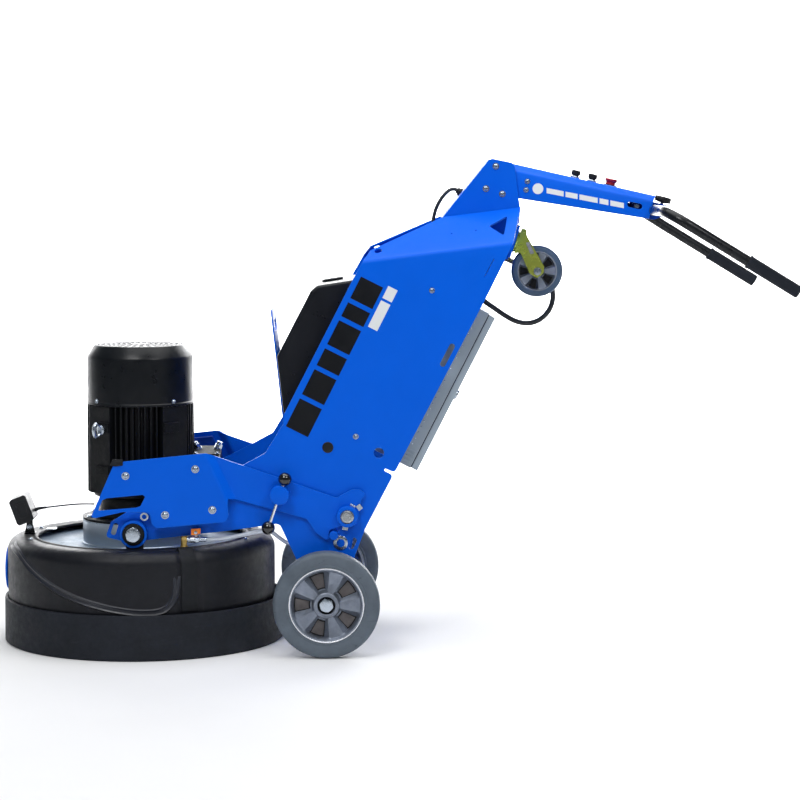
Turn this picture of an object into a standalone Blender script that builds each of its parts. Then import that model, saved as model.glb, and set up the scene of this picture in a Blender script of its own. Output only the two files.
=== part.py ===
"""Walk-behind planetary concrete floor grinder, as an assembly of separate pieces.

Units are metres, +Z is up.  +X points from the grinding head to the handlebar, and the
operator faces -X, so "left" is -Y and "right" is +Y.  Outlines are written in machine
coordinates, whose X is measured from the wheel axle and whose Z is measured from the
floor.  FRAME_X moves the machine so that the origin is the bottom centre of its box.
"""
import math

import bmesh
import bpy
from mathutils import Matrix, Vector

# ---------------------------------------------------------------- driving dimensions
GAP = 0.0003                    # clearance between touching pieces
SIDES = {"left": -1, "right": 1}

WHEEL_RADIUS = 0.160
WHEEL_WIDTH = 0.060
WHEEL_TRACK = 0.370             # |Y| of the middle of a main wheel
AXLE_Z = WHEEL_RADIUS
AXLE_RADIUS = 0.0125

PLATE_Y = 0.292                 # |Y| of the middle of a side plate
PLATE_T = 0.006
PLATE_OUT = PLATE_Y + PLATE_T / 2
PLATE_IN = PLATE_Y - PLATE_T / 2
INSIDE_Y = PLATE_IN - GAP       # |Y| that cross members reach

ARM_Y = 0.3035                  # |Y| of the middle of a weight arm's rear part
FAIRING_Y = 0.3325              # |Y| of the middle of its front part
ARM_PIVOT = (0.062, 0.417)
STOP_PIN = (0.021, 0.359)
CLAMP = (-0.140, 0.485)

HEAD_X = -0.583                 # grinding head's vertical axis
TILT = (-0.579, 0.364)          # head's cross axis in the yoke bushes
SKIRT_X = -0.575
SKIRT_RADIUS = 0.435
COVER_RADIUS = 0.415
COVER_TOP = 0.312
DECK_TOP = 0.297
HUB_RADIUS = 0.184
HUB_TOP = 0.381
MOTOR_TOP = 0.7317
DISC_ORBIT = 0.220
DISC_COUNT = 3

MAST_IN = 0.0953                # |Y| of the inner faces of the mast plates
MAST_OUT = 0.1033
ROOF_END_Y = 0.106              # |Y| where the bent roof faces end beside the mast
ROOF_RISE_X = 0.1247            # slope of a roof face along X
ROOF_RISE_Y = 0.5257            # slope of a roof face towards the middle
ROOF_START = (0.110, 1.179)     # front end of the bend between side plate and roof

BAR_X, BAR_Z = 1.003, 1.330     # cross part of the handlebar, its tilt axis
BAR_RADIUS = 0.016
BAR_WALL = 0.0025
BAR_HALF_WIDTH = 0.405
BAR_BEND = 0.085
BAR_DROP = math.radians(31.3)
BAR_REACH = 0.4546
GRIP_START = 0.281
GRIP_RADIUS = 0.0195
GRIP_END = 0.4586

BEAM_SLOPE = math.radians(12.67)
BEAM_TOP = (0.576, 1.470)

CASTER_BASE = Vector((0.580, 0.0, 1.233))
CASTER_AXIS = Vector((0.9544, 0.0, -0.2984))
CASTER_TRAIL = 0.067
CASTER_OFFSET = 0.0945
CASTER_RADIUS = 0.080

CABINET_CORNER = (0.272, 0.545)     # lower outer edge of the cabinet door
CABINET_DIR = (0.4540, 0.8910)      # up along the door
CABINET_HALF_WIDTH = 0.250
DOOR_LENGTH = 0.520
DOOR_T = 0.020

REAR_X = BAR_X + math.cos(BAR_DROP) * GRIP_END + math.sin(BAR_DROP) * GRIP_RADIUS
FRONT_X = SKIRT_X - SKIRT_RADIUS
FRAME_X = -(REAR_X + FRONT_X) / 2

# ---------------------------------------------------------------------------- tools


def circle(x, z, radius, points, start=0.0):
    """Closed ring of points around (x, z)."""
    step = 2 * math.pi / points
    return [(x + radius * math.cos(start + k * step),
             z + radius * math.sin(start + k * step)) for k in range(points)]


def arc(x, z, radius, first, last, points):
    """Points along an arc, angles in degrees."""
    out = []
    for k in range(points):
        angle = math.radians(first + (last - first) * k / (points - 1))
        out.append((x + radius * math.cos(angle), z + radius * math.sin(angle)))
    return out


def capsule(start, end, radius, points=5):
    """Slot outline with round ends around the line from start to end."""
    heading = math.degrees(math.atan2(end[1] - start[1], end[0] - start[0]))
    return (arc(*end, radius, heading - 90, heading + 90, points)
            + arc(*start, radius, heading + 90, heading + 270, points))


def inset(outline, distance):
    """Counter-clockwise outline moved inwards by a distance, with mitred corners."""
    out = []
    count = len(outline)
    for k in range(count):
        before, here, after = (Vector(outline[(k + j) % count]) for j in (-1, 0, 1))
        first, second = (here - before).normalized(), (after - here).normalized()
        normal_1 = Vector((-first.y, first.x))
        normal_2 = Vector((-second.y, second.x))
        mid = (normal_1 + normal_2).normalized()
        out.append(tuple(here + mid * distance / max(0.3, mid.dot(normal_1))))
    return out


def fill(bm, outline, holes):
    """Flat face with holes, from 3-D outlines."""
    edges = []
    for loop in [outline, *holes]:
        verts = [bm.verts.new(point) for point in loop]
        for k, vert in enumerate(verts):
            edges.append(bm.edges.new((vert, verts[(k + 1) % len(verts)])))
    made = bmesh.ops.triangle_fill(bm, use_beauty=True, edges=edges)
    return [item for item in made["geom"] if isinstance(item, bmesh.types.BMFace)]


def extrude(outline, holes, place, travel):
    """Solid from a 2-D outline, put into space by place() and swept along travel."""
    bm = bmesh.new()
    faces = fill(bm, [place(p) for p in outline], [[place(p) for p in h] for h in holes])
    swept = bmesh.ops.extrude_face_region(bm, geom=faces)
    verts = [item for item in swept["geom"] if isinstance(item, bmesh.types.BMVert)]
    bmesh.ops.translate(bm, verts=verts, vec=travel)
    bmesh.ops.recalc_face_normals(bm, faces=bm.faces)
    return bm


def plate(outline, y_low, y_high, holes=()):
    """Solid from an outline in the XZ plane."""
    return extrude(outline, holes, lambda p: (p[0], y_low, p[1]), (0, y_high - y_low, 0))


def slab(outline, z_low, z_high, holes=()):
    """Solid from an outline in the XY plane."""
    return extrude(outline, holes, lambda p: (p[0], p[1], z_low), (0, 0, z_high - z_low))


def block(x_low, x_high, y_low, y_high, z_low, z_high):
    outline = [(x_low, z_low), (x_high, z_low), (x_high, z_high), (x_low, z_high)]
    return plate(outline, y_low, y_high)


def turned(profile, origin, axis, segments, closed=False, side=None, phase=0.0):
    """Solid of revolution from (radius, height) points along an axis."""
    bm = bmesh.new()
    axis = Vector(axis).normalized()
    side = Vector(side).normalized() if side else axis.orthogonal().normalized()
    up = axis.cross(side)
    rings = []
    for radius, height in profile:
        centre = Vector(origin) + axis * height
        if radius < 1e-6:
            rings.append([bm.verts.new(centre)])
            continue
        ring = []
        for k in range(segments):
            angle = phase + 2 * math.pi * k / segments
            spoke = side * math.cos(angle) + up * math.sin(angle)
            ring.append(bm.verts.new(centre + spoke * radius))
        rings.append(ring)
    pairs = list(zip(rings, rings[1:]))
    if closed:
        pairs.append((rings[-1], rings[0]))
    for low, high in pairs:
        if len(low) == 1 and len(high) == 1:
            continue
        for k in range(segments):
            corners = [low[k % len(low)], low[(k + 1) % segments % len(low)],
                       high[(k + 1) % segments % len(high)], high[k % len(high)]]
            bm.faces.new(list(dict.fromkeys(corners)))
    bmesh.ops.recalc_face_normals(bm, faces=bm.faces)
    return bm


def rod(start, end, radius, segments=16, phase=0.0, side=None):
    """Straight round bar, or a hexagonal one with six segments."""
    start, end = Vector(start), Vector(end)
    length = (end - start).length
    profile = [(0, 0), (radius, 0), (radius, length), (0, length)]
    return turned(profile, start, end - start, segments, side=side, phase=phase)


def scratch_object(bm):
    mesh = bpy.data.meshes.new("scratch")
    bm.to_mesh(mesh)
    bm.free()
    obj = bpy.data.objects.new("scratch", mesh)
    bpy.context.scene.collection.objects.link(obj)
    return obj


def evaluated(obj):
    """The object's mesh after its modifiers, as a bmesh; the object is removed."""
    bpy.context.view_layer.update()
    shape = obj.evaluated_get(bpy.context.evaluated_depsgraph_get())
    bm = bmesh.new()
    bm.from_mesh(shape.to_mesh())
    shape.to_mesh_clear()
    bpy.data.objects.remove(obj, do_unlink=True)
    return bm


def combine(base, others, operation):
    """Boolean of a base solid with one or more others."""
    obj = scratch_object(base)
    tools = [scratch_object(other) for other in others]
    for tool in tools:
        modifier = obj.modifiers.new("combine", "BOOLEAN")
        modifier.operation = operation
        modifier.object = tool
        modifier.solver = "EXACT"
    result = evaluated(obj)
    for tool in tools:
        bpy.data.objects.remove(tool, do_unlink=True)
    return result


def union(base, *others):
    return combine(base, others, "UNION")


def cut(base, *others):
    return combine(base, others, "DIFFERENCE")


def sheet(faces, thickness):
    """Folded sheet metal: flat faces that share edges, thickened about their middle."""
    bm = bmesh.new()
    for outline, holes in faces:
        fill(bm, outline, holes)
    bmesh.ops.remove_doubles(bm, verts=bm.verts, dist=1e-5)
    bmesh.ops.recalc_face_normals(bm, faces=bm.faces)
    obj = scratch_object(bm)
    modifier = obj.modifiers.new("thickness", "SOLIDIFY")
    modifier.thickness = thickness
    modifier.offset = 0.0
    modifier.use_even_offset = True
    modifier.use_quality_normals = True
    return evaluated(obj)


def strip(line, y_half, thickness):
    """Sheet bent along a line in the XZ plane and running across the machine."""
    faces = []
    for start, end in zip(line, line[1:]):
        corners = [(start[0], -y_half, start[1]), (end[0], -y_half, end[1]),
                   (end[0], y_half, end[1]), (start[0], y_half, start[1])]
        faces.append((corners, []))
    return sheet(faces, thickness)


def on_side(bm, side):
    """Solid drawn on the +Y side, mirrored to the -Y side where side is -1."""
    if side < 0:
        bmesh.ops.scale(bm, vec=(1, -1, 1), verts=bm.verts)
        bmesh.ops.reverse_faces(bm, faces=bm.faces)
    return bm


def bent_tube(points, radius, bore, sides):
    """Hollow round tube along 3-D points, open at both ends."""
    bm = bmesh.new()
    points = [Vector(p) for p in points]
    outer, inner = [], []
    spoke = None
    for k, point in enumerate(points):
        ahead = points[min(k + 1, len(points) - 1)] - points[max(k - 1, 0)]
        ahead.normalize()
        if spoke is None:
            spoke = ahead.orthogonal()
        spoke = (spoke - ahead * spoke.dot(ahead)).normalized()
        across = ahead.cross(spoke)
        for rings, size in ((outer, radius), (inner, bore)):
            ring = []
            for j in range(sides):
                angle = 2 * math.pi * j / sides
                offset = spoke * math.cos(angle) + across * math.sin(angle)
                ring.append(bm.verts.new(point + offset * size))
            rings.append(ring)
    loop = outer + inner[::-1]
    for low, high in zip(loop, loop[1:] + loop[:1]):
        for j in range(sides):
            k = (j + 1) % sides
            bm.faces.new((low[j], low[k], high[k], high[j]))
    bmesh.ops.recalc_face_normals(bm, faces=bm.faces)
    return bm


def smooth_route(points, spacing):
    """Evenly spaced points on a smooth curve through the given points."""
    points = [Vector(p) for p in points]
    ends = [2 * points[0] - points[1], *points, 2 * points[-1] - points[-2]]
    fine = []
    for p0, p1, p2, p3 in zip(ends, ends[1:], ends[2:], ends[3:]):
        for k in range(24):
            t = k / 24
            fine.append(0.5 * ((2 * p1) + (p2 - p0) * t + (2 * p0 - 5 * p1 + 4 * p2 - p3) * t * t
                               + (3 * p1 - p0 - 3 * p2 + p3) * t ** 3))
    fine.append(points[-1])
    lengths = [0.0]
    for start, end in zip(fine, fine[1:]):
        lengths.append(lengths[-1] + (end - start).length)
    count = max(2, round(lengths[-1] / spacing))
    out = []
    k = 0
    for step in range(count + 1):
        goal = lengths[-1] * step / count
        while k < len(lengths) - 2 and lengths[k + 1] < goal:
            k += 1
        share = (goal - lengths[k]) / (lengths[k + 1] - lengths[k])
        out.append(fine[k].lerp(fine[k + 1], min(1.0, share)))
    return out


# ------------------------------------------------------------------------ materials
PAINTS = {
    "blue_paint": ((0.010, 0.105, 0.680), 0.0, 0.35),
    "black_paint": ((0.012, 0.013, 0.015), 0.0, 0.35),
    "black_plastic": ((0.014, 0.016, 0.020), 0.0, 0.45),
    "black_rubber": ((0.016, 0.016, 0.018), 0.0, 0.75),
    "grey_rubber": ((0.155, 0.185, 0.215), 0.0, 0.60),
    "cast_aluminium": ((0.520, 0.540, 0.580), 1.0, 0.40),
    "zinc_steel": ((0.620, 0.630, 0.640), 1.0, 0.28),
    "yellow_zinc": ((0.620, 0.560, 0.230), 1.0, 0.35),
    "cabinet_grey": ((0.330, 0.370, 0.410), 0.0, 0.45),
    "dark_steel": ((0.120, 0.125, 0.130), 1.0, 0.45),
    "brass": ((0.560, 0.420, 0.160), 1.0, 0.35),
    "red_plastic": ((0.420, 0.008, 0.014), 0.0, 0.35),
    "orange_plastic": ((0.800, 0.230, 0.015), 0.0, 0.40),
    "clear_hose": ((0.620, 0.660, 0.700), 0.0, 0.20),
    "diamond_tool": ((0.200, 0.150, 0.080), 1.0, 0.55),
}


def make_materials():
    made = {}
    for name, (colour, metallic, roughness) in PAINTS.items():
        mat = bpy.data.materials.new(name)
        mat.use_nodes = True
        shader = mat.node_tree.nodes["Principled BSDF"]
        shader.inputs["Base Color"].default_value = (*colour, 1.0)
        shader.inputs["Metallic"].default_value = metallic
        shader.inputs["Roughness"].default_value = roughness
        made[name] = mat
    return made


def node(name, bm, paint, pivot=(0, 0, 0), smooth=True):
    """Named sub-part with its own material and its origin on the pivot."""
    pivot = Vector(pivot)
    bmesh.ops.translate(bm, verts=bm.verts, vec=-pivot)
    mesh = bpy.data.meshes.new(name)
    bm.to_mesh(mesh)
    bm.free()
    if smooth:
        mesh.shade_smooth()
        mesh.set_sharp_from_angle(angle=math.radians(35))
    own = MATERIALS[paint].copy()
    own.name = f"{name}_{paint}"
    mesh.materials.append(own)
    obj = bpy.data.objects.new(name, mesh)
    obj.location = pivot + Vector((FRAME_X, 0, 0))
    bpy.context.scene.collection.objects.link(obj)
    return obj


def cable(name, points, diameter, paint):
    """Cable or hose along a smooth route, as a bevelled curve."""
    route = smooth_route(points, diameter * 2.6)
    curve = bpy.data.curves.new(name, "CURVE")
    curve.dimensions = "3D"
    spline = curve.splines.new("POLY")
    spline.points.add(len(route) - 1)
    for target, point in zip(spline.points, route):
        target.co = (*point, 1.0)
    curve.bevel_depth = diameter / 2
    curve.bevel_resolution = 2
    curve.use_fill_caps = True
    own = MATERIALS[paint].copy()
    own.name = f"{name}_{paint}"
    curve.materials.append(own)
    obj = bpy.data.objects.new(name, curve)
    obj.location = (FRAME_X, 0, 0)
    bpy.context.scene.collection.objects.link(obj)
    return obj


# -------------------------------------------------------------------------- chassis


def roof_point(x, y):
    """Point on the middle plane of a roof face."""
    x_start, z_start = ROOF_START
    return (x, y, z_start + ROOF_RISE_X * (x - x_start) + ROOF_RISE_Y * (PLATE_Y - y))


def side_plate_outline():
    yoke = arc(*TILT, 0.041, 215, 330, 6)
    leg = arc(0.0, AXLE_Z, 0.055, 180, 360, 7)
    return [
        (0.110, 1.179), (0.080, 1.127), (-0.128, 0.721), (-0.130, 0.694), (-0.183, 0.607),
        (-0.253, 0.569), (-0.450, 0.470), (-0.552, 0.427), (-0.600, 0.429), (-0.648, 0.399),
        (-0.665, 0.353), *yoke, (-0.309, 0.370), (-0.204, 0.384),
        (-0.152, 0.392), (-0.140, 0.388), (-0.093, 0.288), *leg, (0.086, 0.298),
        (0.116, 0.377), (0.200, 0.5385), (0.1726, 0.5525), (0.1757, 0.5595),
        (0.2045, 0.5465), (0.490, 1.095), (0.559, 1.235),
    ]


def side_plate(name, side):
    holes = [
        circle(*TILT, 0.0340, 14),
        circle(0.0, AXLE_Z, AXLE_RADIUS + 0.0006, 12),
        circle(0.004, 0.623, 0.0145, 10),
        circle(0.157, 0.606, 0.0157, 10),
        circle(*CLAMP, 0.0100, 8),
        capsule((0.378, 0.932), (0.348, 0.863), 0.007, 4),
        capsule((0.082, 0.341), (0.074, 0.323), 0.0085, 4),
    ]
    outline = side_plate_outline()
    flat = [(x, PLATE_Y, z) for x, z in outline]
    flat_holes = [[(x, PLATE_Y, z) for x, z in hole] for hole in holes]
    end_x, end_z = outline[-1]
    roof = [(*outline[0][:1], PLATE_Y, outline[0][1]), roof_point(0.133, 0.2396),
            roof_point(0.354, ROOF_END_Y), roof_point(0.592, ROOF_END_Y),
            (end_x, PLATE_Y, end_z)]
    window = [roof_point(0.491, 0.188), roof_point(0.550, 0.1434), roof_point(0.533, 0.2498)]
    bm = sheet([(flat, flat_holes), (roof, [window])], PLATE_T)
    ring = turned([(0.0328, 0), (0.041, 0), (0.041, 0.034), (0.0328, 0.034)],
                  (TILT[0], PLATE_IN, TILT[1]), (0, 1, 0), 18, closed=True)
    pin = rod((STOP_PIN[0], PLATE_Y, STOP_PIN[1]), (STOP_PIN[0], 0.322, STOP_PIN[1]), 0.013, 10)
    node(name, on_side(union(bm, ring, pin), side), "blue_paint", smooth=False)


def mast():
    outer = [(0.354, 1.309), (0.354, 1.240), (0.380, 1.215), (0.545, 1.250), (0.588, 1.290),
             (0.592, 1.332), (0.585, 1.373), (0.574, 1.465), (0.565, 1.475), (0.506, 1.487),
             (0.495, 1.484)]
    hollow = [(0.3616, 1.3061), (0.3616, 1.100), (0.700, 1.100), (0.700, 1.600), (0.515, 1.600),
              (0.515, 1.478), (0.502, 1.480)]
    bm = cut(plate(outer, -MAST_OUT, MAST_OUT), plate(hollow, -MAST_IN, MAST_IN))
    node("mast", bm, "blue_paint", smooth=False)


def caster_frame_point(along, down, y=0.0):
    """Point at a distance along the caster's swivel axis and down from it."""
    down_dir = Vector((CASTER_AXIS.z, 0.0, -CASTER_AXIS.x))
    return CASTER_BASE + CASTER_AXIS * along + down_dir * down + Vector((0, y, 0))


def caster_prism(outline, y_low, y_high, holes=()):
    """Solid from an outline in the caster's own plane."""
    def place(point):
        spot = caster_frame_point(*point)
        return (spot.x, y_low, spot.z)
    return extrude(outline, holes, place, (0, y_high - y_low, 0))


def inner_panel():
    line = [(-0.125, 0.706), (0.062, 0.706), (0.150, 1.090), (0.270, 1.150), (0.500, 1.130),
            (0.549, 1.226)]
    panel = strip(line, INSIDE_Y, 0.005)
    wedge_outline = [(-0.048, 0.060), (-0.0063, 0.060), (-0.0063, -0.047), (-0.030, -0.030)]
    wedge = caster_prism(wedge_outline, -0.045, 0.045)
    mount_plate = caster_prism([(-0.007, -0.052), (0.0, -0.052), (0.0, 0.052), (-0.007, 0.052)],
                               -0.055, 0.055)
    outlet = rod((-0.040, -0.180, 0.650), (-0.040, -0.180, 0.7345), 0.009, 12)
    node("inner_panel", cut(union(panel, wedge, mount_plate), outlet), "blue_paint", smooth=False)


def front_guard():
    line = [(-0.120, 0.6757), (-0.133, 0.684), (-0.170, 1.027)]
    hand_hole = capsule((-0.045, 0.975), (0.045, 0.975), 0.017, 6)
    hole_cut = extrude(hand_hole, [], lambda p: (-0.200, p[0], p[1]), (0.10, 0, 0))
    node("front_guard", cut(strip(line, 0.140, 0.005), hole_cut), "blue_paint", smooth=False)


def wheel_axle():
    """Through shaft with a washer and a hexagon head at each end."""
    half = WHEEL_TRACK + 0.0135
    profile = [(0, -half), (0.023, -half), (0.023, 0.003 - half), (AXLE_RADIUS, 0.003 - half),
               (AXLE_RADIUS, half - 0.003), (0.023, half - 0.003), (0.023, half), (0, half)]
    shaft = turned(profile, (0, 0, AXLE_Z), (0, 1, 0), 20)
    heads = []
    for side in SIDES.values():
        heads.append(rod((0, side * (half - 0.001), AXLE_Z), (0, side * (half + 0.012), AXLE_Z),
                         0.0205, 6))
    node("wheel_axle", union(shaft, *heads), "zinc_steel", (0, 0, AXLE_Z))


TANK = [(-0.131, 0.712), (0.045, 0.712), (0.060, 0.850), (0.125, 1.090), (0.089, 1.1225),
        (-0.028, 1.1045), (-0.048, 1.088), (-0.151, 0.889)]
TANK_NECK = (0.016, 0.0)
TANK_SLOPE = math.atan2(1.1225 - 1.1045, 0.089 + 0.028)


def tank_top(x):
    return 1.1045 + (x + 0.028) * math.tan(TANK_SLOPE)


def water_tank():
    """Moulded tank with its filler opening; the cap closes it."""
    shell = plate(TANK, -0.200, 0.200)
    inside = plate(inset(TANK, 0.006), -0.194, 0.194)
    up = Vector((-math.sin(TANK_SLOPE), 0, math.cos(TANK_SLOPE)))
    foot = Vector((TANK_NECK[0], TANK_NECK[1], tank_top(TANK_NECK[0])))
    filler = rod(foot - up * 0.020, foot + up * 0.020, 0.026, 20)
    node("water_tank", cut(shell, inside, filler), "black_plastic", smooth=False)
    cap = turned([(0, -0.012), (0.0253, -0.012), (0.0253, GAP), (0.033, GAP), (0.033, 0.0065),
                  (0.030, 0.009), (0, 0.009)], foot, up, 20)
    node("tank_cap", cap, "black_plastic", foot)


# --------------------------------------------------------------------------- cabinet


def cabinet_point(up, out, y=0.0):
    """Point up along the door from its lower edge and out from its outer face."""
    ux, uz = CABINET_DIR
    return (CABINET_CORNER[0] + ux * up + uz * out, y, CABINET_CORNER[1] + uz * up - ux * out)


def cabinet_box(up, out, y_low, y_high):
    corners = [(up[0], out[0]), (up[0], out[1]), (up[1], out[1]), (up[1], out[0])]

    def place(point):
        spot = cabinet_point(*point)
        return (spot[0], y_low, spot[2])
    return extrude(corners, [], place, (0, y_high - y_low, 0))


def electric_cabinet():
    width = CABINET_HALF_WIDTH
    shell = cabinet_box((0.0, 0.524), (-0.205, -0.0225), -width, width)
    inside = cabinet_box((0.004, 0.520), (-0.201, 0.0), 0.004 - width, width - 0.004)
    node("electric_cabinet", cut(shell, inside), "cabinet_grey", smooth=False)
    node("drive_inverter", cabinet_box((0.110, 0.400), (-0.2007, -0.070), -0.130, 0.130),
         "black_plastic", smooth=False)
    latch_spot = Vector(cabinet_point(0.260, 0.0, -0.222))
    normal = Vector((CABINET_DIR[1], 0, -CABINET_DIR[0]))
    bore = rod(latch_spot - normal * 0.040, latch_spot + normal * 0.020, 0.0113, 14)
    door = cabinet_box((0.002, DOOR_LENGTH), (-DOOR_T, 0.0), -width, width)
    recess = cabinet_box((0.006, DOOR_LENGTH - 0.004), (-DOOR_T - 0.01, -0.003),
                         0.004 - width, width - 0.004)
    hinge = Vector(cabinet_point(0.0, 0.002, width + 0.002))
    node("cabinet_door", cut(door, recess, bore), "cabinet_grey", hinge, smooth=False)
    latch = turned([(0, -0.014), (0.011, -0.014), (0.011, GAP), (0.016, GAP), (0.016, 0.006),
                    (0.013, 0.008), (0, 0.008)], latch_spot, normal, 16)
    node("door_latch", latch, "zinc_steel", latch_spot)


# ------------------------------------------------------------- handle beam and controls


def beam_top_point(x):
    """Point on the flat top of the handle beam."""
    return Vector((x, 0, BEAM_TOP[1] - (x - BEAM_TOP[0]) * math.tan(BEAM_SLOPE)))


BEAM_NORMAL = Vector((math.sin(BEAM_SLOPE), 0, math.cos(BEAM_SLOPE)))
KNOB_X = {"speed_knob": 0.766, "mode_knob": 0.818}
STOP_X = 0.875
KNOB_STEM = 0.010
STOP_STEM = 0.0155
CLAMP_SCREW = Vector((1.036, 0.0, 1.345))
CLAMP_SCREW_AXIS = Vector((0.259, 0.0, 0.966))


def handle_beam():
    """Folded hollow beam with the handlebar's clamp block welded into its end."""
    stations = [
        ((0.530, 1.3765), (0.522, 1.4600), (0.520, 1.4825)),
        ((0.775, 1.340), (0.775, 1.405), (0.777, 1.4247)),
        ((0.987, 1.305), (0.999, 1.357), (1.010, 1.3724)),
    ]
    side_y, top_y = 0.0933, 0.060
    loops = []
    for low, shoulder, top in stations:
        loops.append([(low[0], -side_y, low[1]), (shoulder[0], -side_y, shoulder[1]),
                      (top[0], -top_y, top[1]), (top[0], top_y, top[1]),
                      (shoulder[0], side_y, shoulder[1]), (low[0], side_y, low[1])])
    faces = []
    for first, second in zip(loops, loops[1:]):
        for k in range(6):
            j = (k + 1) % 6
            faces.append(([first[k], first[j], second[j], second[k]], []))
    shell = sheet(faces, 0.003)
    clamp = plate([(0.950, 1.309), (1.010, 1.300), (1.056, 1.316), (1.060, 1.330),
                   (1.048, 1.3445), (1.020, 1.352), (0.950, 1.367)], -0.028, 0.028)
    cuts = [rod((BAR_X, -0.2, BAR_Z), (BAR_X, 0.2, BAR_Z), BAR_RADIUS + GAP, 20),
            rod(CLAMP_SCREW - CLAMP_SCREW_AXIS * 0.030, CLAMP_SCREW + CLAMP_SCREW_AXIS * 0.030,
                0.0067, 10),
            plate(capsule((0.928, 1.3475), (0.957, 1.3415), 0.0085, 5), -0.2, 0.2)]
    for x in KNOB_X.values():
        spot = beam_top_point(x)
        cuts.append(rod(spot - BEAM_NORMAL * 0.020, spot + BEAM_NORMAL * 0.020,
                        KNOB_STEM + 0.0005, 16))
    spot = beam_top_point(STOP_X)
    cuts.append(rod(spot - BEAM_NORMAL * 0.020, spot + BEAM_NORMAL * 0.020, STOP_STEM + 0.0006, 16))
    node("handle_beam", cut(union(shell, clamp), *cuts), "blue_paint", smooth=False)


def controls():
    clear = 0.0015 + GAP        # half the beam's sheet, plus the clearance
    for name, x in KNOB_X.items():
        spot = beam_top_point(x)
        profile = [(0, -0.016), (KNOB_STEM, -0.016), (KNOB_STEM, clear), (0.0155, clear),
                   (0.0155, 0.008), (0.0145, 0.010), (0.0135, 0.026), (0, 0.026)]
        node(name, turned(profile, spot, BEAM_NORMAL, 14), "black_plastic", spot)
    spot = beam_top_point(STOP_X)
    profile = [(0, -0.014), (STOP_STEM, -0.014), (STOP_STEM, 0.014), (0.0195, 0.018),
               (0.0195, 0.024), (0, 0.024)]
    node("stop_button", turned(profile, spot, BEAM_NORMAL, 16), "red_plastic", spot)


def bar_point(reach, y):
    """Point on the handlebar's plane, at a reach from its cross part."""
    return Vector((BAR_X + math.cos(BAR_DROP) * reach, y, BAR_Z - math.sin(BAR_DROP) * reach))


def handlebar():
    corner = BAR_HALF_WIDTH - BAR_BEND
    points = [bar_point(BAR_REACH, BAR_HALF_WIDTH), bar_point(0.25, BAR_HALF_WIDTH)]
    for along, across in arc(0, 0, BAR_BEND, 0, 90, 6):
        points.append(bar_point(BAR_BEND - across, corner + along))
    mirrored = [Vector((p.x, -p.y, p.z)) for p in reversed(points)]
    pivot = (BAR_X, 0, BAR_Z)
    tube = bent_tube(points + mirrored, BAR_RADIUS, BAR_RADIUS - BAR_WALL, 12)
    node("handlebar", tube, "black_paint", pivot)
    heading = bar_point(1, 0) - bar_point(0, 0)
    for name, side in SIDES.items():
        inner, outer = BAR_RADIUS + 0.0009, GRIP_RADIUS
        profile = [(inner, GRIP_START), (outer + 0.0015, GRIP_START),
                   (outer, GRIP_END), (0, GRIP_END), (0, BAR_REACH + GAP),
                   (inner, BAR_REACH + GAP)]
        origin = bar_point(0, side * BAR_HALF_WIDTH)
        grip = turned(profile, origin, heading, 12, closed=True,
                      side=Vector((0, 1, 0)).cross(heading))
        node(f"grip_{name}", grip, "black_rubber", pivot)
    knob_outline = []
    for k in range(24):
        radius = 0.0255 if k % 4 in (0, 1) else 0.0225
        angle = 2 * math.pi * k / 24
        knob_outline.append((radius * math.cos(angle), radius * math.sin(angle)))
    axis = CLAMP_SCREW_AXIS.normalized()
    side = Vector((0, 1, 0))
    across = axis.cross(side)
    base = CLAMP_SCREW + axis * 0.007

    def place(point):
        return base + side * point[0] + across * point[1]
    head = extrude(knob_outline, [], place, axis * 0.020)
    stud = rod(CLAMP_SCREW - axis * 0.026, base + axis * 0.005, 0.006, 10)
    node("handlebar_knob", union(head, stud), "black_plastic", CLAMP_SCREW)


# ---------------------------------------------------------------------------- wheels


def main_wheel(name, side):
    centre = (0, side * WHEEL_TRACK, AXLE_Z)
    half = WHEEL_WIDTH / 2
    rim_radius = 0.112
    tyre = [(rim_radius + 0.0009, -0.026), (0.150, -half), (0.157, -0.026),
            (WHEEL_RADIUS, -0.018), (WHEEL_RADIUS, 0.018), (0.157, 0.026), (0.150, half),
            (rim_radius + 0.0009, 0.026)]
    node(f"tyre_{name}", turned(tyre, centre, (0, 1, 0), 32, closed=True, side=(0, 0, 1)),
         "grey_rubber", centre)
    bore = AXLE_RADIUS + GAP
    rim = [(bore, -0.028), (0.038, -0.028), (0.041, -0.012), (0.100, -0.012),
           (0.104, -0.026), (rim_radius, -0.026), (rim_radius, 0.026), (0.104, 0.026),
           (0.100, 0.012), (0.041, 0.012), (0.038, 0.028), (bore, 0.028)]
    # the outer face's bolt recess
    rim_body = turned(rim, centre, (0, 1, 0), 24, closed=True)
    deep = centre[1] + side * 0.0103
    recess = rod((0, deep, AXLE_Z), (0, centre[1] + side * 0.05, AXLE_Z), 0.0275, 16)
    node(f"rim_{name}", cut(rim_body, recess), "cast_aluminium", centre)


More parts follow.
